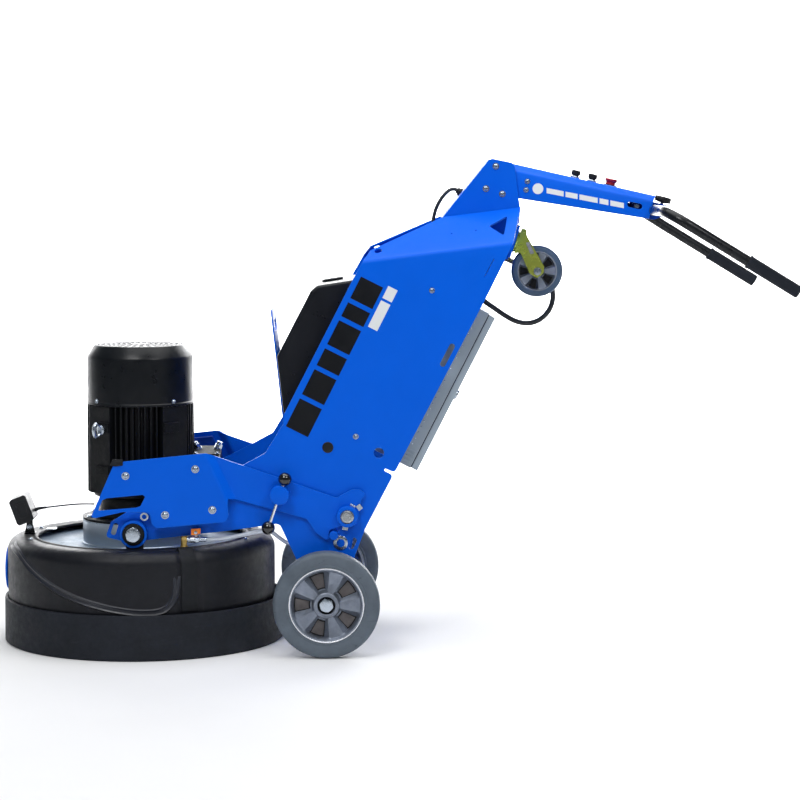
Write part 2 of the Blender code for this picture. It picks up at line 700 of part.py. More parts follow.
def caster():
    steel = 0.0045
    leg = 0.0245
    outline = [(GAP + 0.008, -0.036), (0.020, -0.036), (0.060, -0.010), (0.108, 0.045),
               (0.113, 0.060), (0.108, 0.080), (0.096, 0.086), (0.080, 0.078),
               (0.040, 0.056), (GAP + 0.008, 0.040)]
    body = caster_prism(outline, -leg - steel, leg + steel)
    throat = caster_prism([(0.0125, -0.060), (0.200, -0.060), (0.200, 0.200), (0.0125, 0.200)],
                          -leg, leg)
    swivel = turned([(0, GAP), (0.030, GAP), (0.034, 0.004), (0.034, 0.010), (0, 0.010)],
                    CASTER_BASE, CASTER_AXIS, 20)
    centre = caster_frame_point(CASTER_OFFSET, CASTER_TRAIL)
    ends = leg + steel
    bolt = turned([(0, -ends - 0.008), (0.0115, -ends - 0.008), (0.0115, -ends + 0.001),
                   (0.006, -ends + 0.001), (0.006, ends - 0.001), (0.0115, ends - 0.001),
                   (0.0115, ends + 0.007), (0, ends + 0.007)], centre, (0, 1, 0), 12)
    fork = union(cut(body, throat), swivel, bolt)
    node("caster_fork", fork, "yellow_zinc", CASTER_BASE)
    wheel = [(0.0065, -0.022), (0.016, -0.022), (0.020, -0.008), (0.056, -0.008), (0.060, -0.019),
             (0.076, -0.019), (CASTER_RADIUS, -0.008), (CASTER_RADIUS, 0.008), (0.076, 0.019),
             (0.060, 0.019), (0.056, 0.008), (0.020, 0.008), (0.016, 0.022), (0.0065, 0.022)]
    node("caster_wheel", turned(wheel, centre, (0, 1, 0), 20, closed=True), "grey_rubber", centre)


# ---------------------------------------------------------------------- weight arms

FAIRING = [(-0.703, 0.425), (-0.633, 0.579), (-0.600, 0.586), (-0.364, 0.610),
           (-0.300, 0.473), (-0.292, 0.424), (-0.302, 0.404), (-0.509, 0.385),
           (-0.522, 0.398), (-0.528, 0.431), (-0.548, 0.434)]
HAND_SLOT = [(-0.682, 0.438), (-0.669, 0.470), (-0.655, 0.476), (-0.548, 0.486),
             (-0.541, 0.480), (-0.556, 0.451), (-0.570, 0.447)]
ARM = [(-0.337, 0.600), (-0.252, 0.570), (-0.145, 0.534), (0.029, 0.472), (0.076, 0.497),
       (0.100, 0.497), (0.119, 0.484), (0.104, 0.466), (0.101, 0.440),
       *arc(*ARM_PIVOT, 0.036, 20, -125, 8),
       (0.026, 0.381), (0.0075, 0.3745), (0.0050, 0.360), (0.0095, 0.349), (-0.002, 0.345),
       (-0.032, 0.366), (-0.060, 0.409), (-0.273, 0.467)]


def weight_arm(name, side):
    """Bent arm plate, its ballast block, its pivot and its screw clamp."""
    pivot = (ARM_PIVOT[0], 0, ARM_PIVOT[1])
    fairing = [(x, FAIRING_Y, z) for x, z in FAIRING]
    slot = [(x, FAIRING_Y, z) for x, z in HAND_SLOT]
    arm = [(x, ARM_Y, z) for x, z in ARM]
    holes = [[(x, ARM_Y, z) for x, z in circle(*ARM_PIVOT, 0.0188, 16)],
             [(x, ARM_Y, z) for x, z in circle(*CLAMP, 0.0108, 12)]]
    joggle = [fairing[3], fairing[4], arm[-1], arm[0]]
    bm = sheet([(fairing, [slot]), (joggle, []), (arm, holes)], 0.006)
    node(f"weight_arm_{name}", on_side(bm, side), "blue_paint", pivot, smooth=False)

    weight = [(-0.650, 0.508), (-0.622, 0.571), (-0.380, 0.594), (-0.330, 0.488),
              (-0.335, 0.432), (-0.500, 0.420), (-0.512, 0.498)]
    lowest, highest = PLATE_OUT + 0.0053, FAIRING_Y - 0.003 - GAP
    bm = plate(weight, lowest, highest)
    node(f"weight_block_{name}", on_side(bm, side), "dark_steel", pivot, smooth=False)

    profile = [(0, 0), (0.024, 0), (0.024, ARM_Y - 0.003 - GAP - PLATE_OUT - GAP),
               (0.018, ARM_Y - 0.003 - GAP - PLATE_OUT - GAP),
               (0.018, ARM_Y + 0.003 + GAP - PLATE_OUT - GAP),
               (0.032, ARM_Y + 0.003 + GAP - PLATE_OUT - GAP), (0.032, 0.035),
               (0.0185, 0.035), (0.0185, 0.044), (0, 0.044)]
    origin = (ARM_PIVOT[0], PLATE_OUT + GAP, ARM_PIVOT[1])
    bm = turned(profile, origin, (0, 1, 0), 16)
    node(f"arm_pivot_{name}", on_side(bm, side), "blue_paint", pivot)

    # clamp spindle: threaded stem through the arm, cap with a cross hole for its bar
    face = ARM_Y + 0.003 + GAP
    origin = Vector((CLAMP[0], 0, CLAMP[1]))
    profile = [(0, PLATE_OUT + 0.001), (0.010, PLATE_OUT + 0.001), (0.010, face),
               (0.017, face), (0.017, 0.318), (0.0285, 0.318), (0.0285, 0.354), (0, 0.354)]
    bar_dir = Vector((0.326, 0, 0.945))
    bar_mid = origin + Vector((0, 0.336, 0))
    hole = rod(bar_mid - bar_dir * 0.05, bar_mid + bar_dir * 0.05, 0.0053, 10)
    bm = cut(turned(profile, origin, (0, 1, 0), 16), hole)
    node(f"clamp_spindle_{name}", on_side(bm, side), "blue_paint", origin)
    up_end, low_end = bar_mid + bar_dir * 0.050, bar_mid - bar_dir * 0.105
    bar = rod(low_end, up_end, 0.005, 10)
    balls = []
    for spot in (up_end, low_end):
        ball = bmesh.new()
        bmesh.ops.create_uvsphere(ball, u_segments=10, v_segments=7, radius=0.0195,
                                  matrix=Matrix.Translation(spot))
        balls.append(ball)
    node(f"clamp_bar_{name}", on_side(union(bar, *balls), side), "black_plastic", origin)


# --------------------------------------------------------------------- grinding head


def head_pivots(name, side):
    """Rubber bush in the yoke, and the bolt that the head hangs from."""
    origin = (TILT[0], 0, TILT[1])
    bush = turned([(0.0133, PLATE_IN + 0.001), (0.032, PLATE_IN + 0.001), (0.032, 0.3265),
                   (0.0133, 0.3265)], origin, (0, 1, 0), 18, closed=True)
    node(f"yoke_bush_{name}", on_side(bush, side), "black_rubber", origin)
    shank = rod((TILT[0], 0.2675, TILT[1]), (TILT[0], 0.328, TILT[1]), 0.013, 16)
    washer = rod((TILT[0], 0.3268, TILT[1]), (TILT[0], 0.330, TILT[1]), 0.026, 16)
    head = rod((TILT[0], 0.3290, TILT[1]), (TILT[0], 0.344, TILT[1]), 0.0215, 6)
    node(f"tilt_bolt_{name}", on_side(union(shank, washer, head), side), "zinc_steel", origin)


def head_base():
    """Deck plate with the two brackets that take the tilt bolts."""
    deck = slab(circle(HEAD_X, 0, 0.392, 36), DECK_TOP - 0.010, DECK_TOP,
                [circle(HEAD_X, 0, 0.034, 20)])
    brackets = []
    for side in SIDES.values():
        outline = [(-0.680, DECK_TOP - 0.002), (-0.480, DECK_TOP - 0.002), (-0.530, 0.385),
                   (-0.560, 0.400), (-0.600, 0.400), (-0.630, 0.385)]
        bracket = plate(outline, 0.268, INSIDE_Y - 0.005, [circle(*TILT, 0.0133, 16)])
        brackets.append(on_side(bracket, side))
    node("head_base", union(deck, *brackets), "dark_steel", (TILT[0], 0, TILT[1]), smooth=False)


def head_covers():
    shoulder = arc(COVER_RADIUS - 0.040, COVER_TOP - 0.040, 0.040, 0, 90, 4)
    inner = arc(COVER_RADIUS - 0.040, COVER_TOP - 0.040, 0.034, 90, 0, 3)
    profile = [(COVER_RADIUS, 0.125), *shoulder, (0.322, COVER_TOP), (0.322, COVER_TOP - 0.006),
               *inner, (COVER_RADIUS - 0.006, 0.125)]
    axis = (0, 0, 1)
    pivot = (TILT[0], 0, TILT[1])
    node("head_cover", turned(profile, (HEAD_X, 0, 0), axis, 40, closed=True, side=(1, 0, 0)),
         "black_plastic", pivot)
    ring = [(SKIRT_RADIUS, 0.002), (SKIRT_RADIUS, 0.137), (0.4245, 0.137), (0.4245, 0.002)]
    node("head_skirt", turned(ring, (SKIRT_X, 0, 0), axis, 40, closed=True, side=(1, 0, 0)),
         "black_rubber", pivot)


def head_drive():
    axis = (0, 0, 1)
    origin = (HEAD_X, 0, 0)
    pivot = (TILT[0], 0, TILT[1])
    low = DECK_TOP + GAP
    hub = [(HUB_RADIUS, low), (HUB_RADIUS, HUB_TOP), (0.026, HUB_TOP), (0.026, 0.371),
           (0.160, 0.371), (0.160, low)]
    node("head_hub", turned(hub, origin, axis, 28, closed=True), "cast_aluminium", pivot)

    fins = 20
    star = []
    for k in range(fins):
        middle = 2 * math.pi * k / fins
        for offset, radius in ((-0.095, 0.152), (-0.045, 0.165), (0.045, 0.165), (0.095, 0.152)):
            star.append((HEAD_X + radius * math.cos(middle + offset),
                         radius * math.sin(middle + offset)))
    finned = slab(star, 0.454, MOTOR_TOP, [circle(HEAD_X, 0, 0.082, 16)])
    base = HUB_TOP + GAP
    flange = turned([(0.040, base), (0.146, base), (0.146, 0.456), (0.140, 0.462),
                     (0.082, 0.462), (0.082, 0.400), (0.040, 0.400)], origin, axis, 24,
                    closed=True)
    node("motor_body", union(finned, flange), "black_paint", pivot)
    terminal = cut(block(HEAD_X + 0.1655, -0.335, -0.060, 0.060, 0.500, 0.598),
                   block(HEAD_X + 0.170, -0.339, -0.056, 0.056, 0.504, 0.620))
    lid = block(HEAD_X + 0.1655, -0.335, -0.060, 0.060, 0.592, 0.598)
    gland_hole = rod((-0.3345, 0, 0.550), (-0.400, 0, 0.550), 0.010, 12)
    node("terminal_box", cut(union(terminal, lid), gland_hole,
                             rod((-0.330, 0, 0.550), (-0.342, 0, 0.550), 0.010, 12)),
         "black_paint", pivot, smooth=False)

    bottom = MOTOR_TOP + GAP
    fan_cover = [(0.164, bottom), (0.164, 0.879), (0.142, 0.914), (0.030, 0.916),
                 (0.030, 0.912), (0.138, 0.912), (0.160, 0.877), (0.160, bottom)]
    node("fan_cover", turned(fan_cover, origin, axis, 28, closed=True), "black_paint", pivot)

    rotor = [(0, 0.345), (0.0245, 0.345), (0.0245, 0.490), (0.078, 0.490), (0.078, 0.690),
             (0.024, 0.690), (0.024, 0.760), (0.125, 0.765), (0.125, 0.800), (0.024, 0.806),
             (0, 0.808)]
    node("motor_rotor", turned(rotor, origin, axis, 20), "dark_steel", origin)

    seats = []
    for k in range(DISC_COUNT):
        angle = math.pi + 2 * math.pi * k / DISC_COUNT
        seats.append(Vector((HEAD_X + DISC_ORBIT * math.cos(angle),
                             DISC_ORBIT * math.sin(angle), 0)))
    carrier = turned([(0, 0.070), (0.330, 0.070), (0.330, 0.120), (0.090, 0.130),
                      (0.033, 0.150), (0.033, 0.335), (0, 0.335)], origin, axis, 28)
    bores = [rod(seat + Vector((0, 0, 0.05)), seat + Vector((0, 0, 0.20)), 0.0309, 16)
             for seat in seats]
    node("disc_carrier", cut(carrier, *bores), "dark_steel", origin)
    for k, seat in enumerate(seats):
        disc = [(0, 0.014), (0.080, 0.014), (0.080, 0.0), (0.120, 0.0), (0.125, 0.030),
                (0.030, 0.040), (0.030, 0.118), (0, 0.118)]
        node(f"grinding_disc_{k + 1}", turned(disc, seat, axis, 20), "diamond_tool", seat)


LAMP_PIVOT = (-0.933, 0.342)


def work_lamp():
    """Tilting lamp on a small angle bracket at the front of the head."""
    x, z = LAMP_PIVOT
    foot = block(x - 0.016, x + 0.016, -0.006, 0.030, COVER_TOP + GAP, COVER_TOP + 0.0035)
    ear = plate([(x - 0.012, COVER_TOP + 0.001), (x + 0.012, COVER_TOP + 0.001),
                 *arc(x, z, 0.012, 0, 180, 7)], GAP, 0.004, [circle(x, z, 0.0043, 10)])
    node("lamp_bracket", union(foot, ear), "black_paint", (TILT[0], 0, TILT[1]), smooth=False)
    body = plate([(-0.990, 0.424), (-0.984, 0.433), (-0.946, 0.448), (-0.938, 0.444),
                  (-0.913, 0.376), (-0.918, 0.368), (-0.958, 0.352), (-0.966, 0.358)],
                 -0.050, 0.050)
    lug = plate([(x - 0.010, z - 0.008), (x + 0.010, z - 0.008), (x + 0.010, z + 0.028),
                 (x - 0.010, z + 0.028)], -0.004, 0.0)
    bolt = rod((x, -0.010, z), (x, 0.010, z), 0.004, 10)
    node("lamp_head", union(body, lug, bolt), "black_plastic", (x, 0, z), smooth=False)


VALVE_Y = -0.315
VALVE = (-0.392, 0.348)


def water_valve():
    """Brass elbow and ball valve on the cover, with its quarter-turn lever."""
    x, z = VALVE
    elbow = rod((-0.4270, VALVE_Y, COVER_TOP + GAP), (-0.4270, VALVE_Y, z + 0.007), 0.0085, 12)
    barrel = rod((-0.4270, VALVE_Y, z), (x + 0.014, VALVE_Y, z), 0.0095, 12)
    barb = rod((x + 0.013, VALVE_Y, z), (x + 0.034, VALVE_Y, z), 0.0060, 12)
    stem = rod((x, VALVE_Y, z), (x, VALVE_Y, z + 0.013), 0.0040, 10)
    node("water_valve", union(elbow, barrel, barb, stem), "brass", (TILT[0], 0, TILT[1]))
    top = z + 0.013 + GAP
    lever = slab([(x - 0.014, VALVE_Y - 0.005), (x + 0.012, VALVE_Y - 0.005),
                  (x + 0.015, VALVE_Y), (x + 0.012, VALVE_Y + 0.005),
                  (x - 0.014, VALVE_Y + 0.005)], top, top + 0.021)
    node("valve_lever", lever, "orange_plastic", (x, VALVE_Y, z), smooth=False)


# ---------------------------------------------------------------- cables and the hose

CONTROL_CABLE = [(0.4113, 0, 1.3836), (0.4030, 0, 1.3903), (0.3912, 0, 1.3945),
                 (0.3765, 0, 1.3900), (0.3598, 0, 1.3740), (0.3445, 0, 1.3507),
                 (0.3340, 0, 1.3260), (0.3282, 0, 1.2980), (0.3275, 0, 1.2650),
                 (0.330, 0, 1.225), (0.333, 0, 1.185), (0.334, 0, 1.1482)]
POWER_CABLE = [(0.452, 0.155, 1.1295), (0.453, 0.155, 1.105), (0.464, 0.155, 1.071),
               (0.492, 0.155, 1.042), (0.530, 0.155, 1.015), (0.562, 0.155, 0.993),
               (0.597, 0.155, 0.975), (0.635, 0.155, 0.969), (0.672, 0.155, 0.981),
               (0.701, 0.155, 1.011), (0.713, 0.155, 1.052), (0.704, 0.155, 1.094),
               (0.673, 0.155, 1.126), (0.620, 0.155, 1.150), (0.5645, 0.155, 1.1727),
               (0.5348, 0.155, 1.1879)]
LAMP_CABLE = [(-0.9182, 0.020, 0.3928), (-0.907, 0.020, 0.397), (-0.880, 0.018, 0.401),
              (-0.835, 0.012, 0.407), (-0.790, 0.006, 0.412), (-0.755, 0.002, 0.4135),
              (-0.7300, 0.0, 0.4135)]
WATER_HOSE = [(-0.3575, -0.315, 0.348), (-0.335, -0.315, 0.3485), (-0.300, -0.315, 0.352),
              (-0.250, -0.315, 0.362), (-0.205, -0.313, 0.371), (-0.168, -0.302, 0.369),
              (-0.142, -0.280, 0.347), (-0.116, -0.262, 0.328), (-0.085, -0.250, 0.328),
              (-0.058, -0.240, 0.350), (-0.044, -0.226, 0.400), (-0.040, -0.205, 0.480),
              (-0.040, -0.188, 0.570), (-0.040, -0.181, 0.650), (-0.040, -0.180, 0.7115)]


def cables():
    cable("control_cable", CONTROL_CABLE, 0.012, "black_rubber")
    cable("power_cable", POWER_CABLE, 0.017, "black_rubber")
    cable("lamp_cable", LAMP_CABLE, 0.005, "black_rubber")
    cable("water_hose", WATER_HOSE, 0.012, "clear_hose")


for old in list(bpy.data.objects):
    bpy.data.objects.remove(old, do_unlink=True)
MATERIALS = make_materials()
for side_name, side_sign in SIDES.items():
    side_plate(f"side_plate_{side_name}", side_sign)
    main_wheel(side_name, side_sign)
    weight_arm(side_name, side_sign)
    head_pivots(side_name, side_sign)
mast()
inner_panel()
front_guard()
wheel_axle()
water_tank()
electric_cabinet()
handle_beam()
controls()
handlebar()
caster()
head_base()
head_covers()
head_drive()
work_lamp()
water_valve()
cables()
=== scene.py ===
"""Looks of the walk-behind planetary concrete grinder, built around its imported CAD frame.

Outlines are in metres and in machine coordinates: X from the wheel axle, Z from the floor,
near side -Y. FRAME_X, measured from the frame, moves them into the row frame.
"""
import math

import bmesh
import bpy
from mathutils import Matrix, Vector


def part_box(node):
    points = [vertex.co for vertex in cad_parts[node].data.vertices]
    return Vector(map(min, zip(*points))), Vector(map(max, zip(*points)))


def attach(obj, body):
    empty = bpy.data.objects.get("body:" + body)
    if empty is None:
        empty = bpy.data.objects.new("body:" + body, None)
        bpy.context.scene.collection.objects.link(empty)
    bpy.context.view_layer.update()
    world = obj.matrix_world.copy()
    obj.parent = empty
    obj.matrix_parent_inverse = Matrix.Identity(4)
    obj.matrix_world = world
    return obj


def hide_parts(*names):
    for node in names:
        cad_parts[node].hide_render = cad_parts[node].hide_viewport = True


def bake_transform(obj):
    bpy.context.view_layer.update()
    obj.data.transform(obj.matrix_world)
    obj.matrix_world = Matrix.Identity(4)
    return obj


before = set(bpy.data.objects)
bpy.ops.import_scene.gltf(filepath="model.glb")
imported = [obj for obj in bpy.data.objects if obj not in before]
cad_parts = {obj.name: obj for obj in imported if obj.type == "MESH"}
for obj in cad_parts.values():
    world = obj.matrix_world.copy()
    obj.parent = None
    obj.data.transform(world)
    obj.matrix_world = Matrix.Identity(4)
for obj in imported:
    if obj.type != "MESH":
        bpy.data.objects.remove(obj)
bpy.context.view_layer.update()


def middle(node):
    low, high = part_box(node)
    return (low + high) / 2


FRAME_X = middle("wheel_axle").x
AXLE_Z = middle("wheel_axle").z
SIDES = {"left": -1, "right": 1}

WHEEL_TRACK = 0.370
PLATE_Y = 0.292
PLATE_T = 0.006
PLATE_OUT = PLATE_Y + PLATE_T / 2
PLATE_IN = PLATE_Y - PLATE_T / 2
ARM_Y = 0.3035
ARM_FACE = ARM_Y + 0.0034
FAIRING_Y = 0.3325
ARM_PIVOT = (0.062, 0.417)
STOP_PIN = (0.021, 0.359)
LOCK_BOLT = (0.042, 0.334)
YOKE_BOLT = (-0.548, 0.4145)
CLAMP = (-0.140, 0.485)
HEAD_X = -0.583
HEAD_AXIS = ((HEAD_X, 0, 0), (0, 0, 1))
TILT = (-0.579, 0.364)
SKIRT_X = -0.575
SKIRT_RADIUS = 0.435
COVER_RADIUS = 0.415
COVER_TOP = 0.320
SHOULDER = 0.040
DECK_TOP = 0.297
HUB_RADIUS = 0.184
MOTOR_TOP = 0.7317
MAST_IN = 0.0953
MAST_OUT = 0.1033
ROOF_END_Y = 0.106
ROOF_RISE_X = 0.1247
ROOF_RISE_Y = 0.5257
ROOF_START = (0.110, 1.179)
BAR_X, BAR_Z = 1.003, 1.330
BAR_RADIUS = 0.016
BAR_HALF_WIDTH = 0.405
BAR_BEND = 0.085
BAR_DROP = math.radians(31.3)
BAR_REACH = 0.4546
KNOB_BASE = Vector((1.036, 0.0, 1.345))
KNOB_AXIS = Vector((0.259, 0.0, 0.966)).normalized()
GRIP_START = 0.281
GRIP_END = 0.4586
GRIP_RADIUS = 0.0195
BEAM_SLOPE = math.radians(12.67)
BEAM_TOP = (0.576, 1.470)
BEAM_Y = 0.0933
BEAM_NORMAL = Vector((math.sin(BEAM_SLOPE), 0, math.cos(BEAM_SLOPE)))
CASTER_BASE = Vector((0.580, 0.0, 1.233))
CASTER_AXIS = Vector((0.9544, 0.0, -0.2984))
CASTER_TRAIL = 0.067
CASTER_OFFSET = 0.0945
CASTER_LEG = 0.0245
CASTER_FACE = CASTER_LEG + 0.0045
CABINET_CORNER = (0.272, 0.545)
CABINET_DIR = (0.4540, 0.8910)
CABINET_HALF_WIDTH = 0.250
DOOR_LENGTH = 0.520
LAMP_PIVOT = (-0.933, 0.342)
LAMP_SOCKET = (-0.9270, 0.020, 0.3892)
VALVE_Y = -0.315
VALVE = (-0.392, 0.348)

# --------------------------------------------------------------------------- camera


def camera():
    data = bpy.data.cameras.new("camera")
    data.lens = 108
    data.sensor_width = 36
    data.dof.use_dof = False
    obj = bpy.data.objects.new("camera", data)
    obj.location = (0.1152 + FRAME_X, -7.455, 1.4236)
    obj.rotation_euler = (math.radians(90 - 5.2493), 0, math.radians(-0.8439))
    bpy.context.scene.collection.objects.link(obj)
    bpy.context.scene.camera = obj


camera()

# ------------------------------------------------------------------------- materials


class Graph:
    """Short names for the nodes that the materials are made of."""

    def __init__(self, name):
        self.mat = bpy.data.materials.new(name)
        self.mat.use_nodes = True
        self.tree = self.mat.node_tree
        self.shader = self.tree.nodes["Principled BSDF"]
        self.coord = self.tree.nodes.new("ShaderNodeTexCoord").outputs["Object"]

    def add(self, kind, **values):
        node = self.tree.nodes.new(kind)
        for key, value in values.items():
            if key in node.inputs:
                self.put(node.inputs[key], value)
            else:
                setattr(node, key, value)
        return node

    def put(self, socket, value):
        if isinstance(value, bpy.types.NodeSocket):
            self.tree.links.new(value, socket)
        else:
            socket.default_value = value

    def stretched(self, scale):
        return self.add("ShaderNodeMapping", Vector=self.coord, Scale=scale).outputs["Vector"]

    def noise(self, scale, detail=4.0, rough=0.55, vector=None, distortion=0.0):
        made = self.add("ShaderNodeTexNoise", Vector=vector or self.coord, Scale=scale,
                        Detail=detail, Roughness=rough, Distortion=distortion)
        return made.outputs["Fac"]

    def span(self, value, low, high, to_low=0.0, to_high=1.0):
        """Value from low..high mapped to to_low..to_high and clamped."""
        made = self.add("ShaderNodeMapRange", Value=value)
        for key, number in (("From Min", low), ("From Max", high),
                            ("To Min", to_low), ("To Max", to_high)):
            made.inputs[key].default_value = number
        return made.outputs["Result"]

    def math(self, operation, a, b=0.0):
        made = self.tree.nodes.new("ShaderNodeMath")
        made.operation = operation
        self.put(made.inputs[0], a)
        self.put(made.inputs[1], b)
        return made.outputs[0]

    def mix(self, factor, a, b):
        made = self.tree.nodes.new("ShaderNodeMix")
        made.data_type = "RGBA"
        self.put(made.inputs[0], factor)
        for socket, value in ((made.inputs[6], a), (made.inputs[7], b)):
            self.put(socket, (*value, 1.0) if isinstance(value, tuple) else value)
        return made.outputs[2]

    def bump(self, height, depth, normal=None):
        made = self.add("ShaderNodeBump", Height=height, Distance=depth)
        if normal is not None:
            self.put(made.inputs["Normal"], normal)
        return made.outputs["Normal"]

    def edges(self, radius):
        """1 on a sharp edge and 0 on the flat."""
        bent = self.add("ShaderNodeBevel", Radius=radius).outputs["Normal"]
        flat = self.tree.nodes.new("ShaderNodeNewGeometry").outputs["Normal"]
        dot = self.tree.nodes.new("ShaderNodeVectorMath")
        dot.operation = "DOT_PRODUCT"
        self.put(dot.inputs[0], bent)
        self.put(dot.inputs[1], flat)
        return self.span(dot.outputs["Value"], 0.995, 0.86)


COAT_ROUGHNESS = 0.12


def tone(colour, factor):
    return tuple(min(1.0, channel * factor) for channel in colour)


def finish(name, colour, rough, metallic=0.0, vary=0.12, blotch=5.0, rough_vary=0.08,
           grain=700.0, grain_depth=0.00015, stretch=None, edge_wear_and_highlight=None, worn_and_highlight_colour=(0.5, 0.5, 0.5),
           scuff=None, coat=0.0, specular=0.5):
    """Painted, moulded or plated surface with uneven colour, grain and paler edges: abraded edges,
    and on the blue a painted highlight.
    """
    g = Graph(name)
    patches = g.noise(blotch, 6.0, 0.6)
    shade = g.mix(g.span(patches, 0.3, 0.7), tone(colour, 1 - vary), tone(colour, 1 + vary))
    roughness = g.span(g.noise(blotch * 7, 5.0), 0.3, 0.7, rough - rough_vary, rough + rough_vary)
    if scuff:
        amount, scuff_colour, scale = scuff
        marks = g.noise(scale, 8.0, 0.7, g.stretched((1.0, 1.0, 3.5)), 1.5)
        factor = g.span(marks, 0.60, 0.72, 0.0, amount)
        shade = g.mix(factor, shade, scuff_colour)
        roughness = g.math("ADD", roughness, g.math("MULTIPLY", factor, 0.25))
    # Edges turn toward a paler colour: abraded paint on most finishes, a painted edge highlight on
    # the blue.
    if edge_wear_and_highlight:
        ragged = g.span(g.noise(60.0, 6.0, 0.7), 0.35, 0.65)
        factor = g.math("MULTIPLY", g.edges(edge_wear_and_highlight), ragged)
        shade = g.mix(g.math("MULTIPLY", factor, 0.7), shade, worn_and_highlight_colour)
    g.put(g.shader.inputs["Base Color"], shade)
    g.put(g.shader.inputs["Roughness"], roughness)
    fine = g.noise(grain, 3.0, 0.6, g.stretched(stretch) if stretch else None)
    normal = g.bump(g.noise(blotch * 4, 3.0), grain_depth * 2.5)
    g.put(g.shader.inputs["Normal"], g.bump(fine, grain_depth, normal))
    g.shader.inputs["Metallic"].default_value = metallic
    g.shader.inputs["Specular IOR Level"].default_value = specular
    g.shader.inputs["Coat Weight"].default_value = coat
    g.shader.inputs["Coat Roughness"].default_value = COAT_ROUGHNESS
    return g.mat


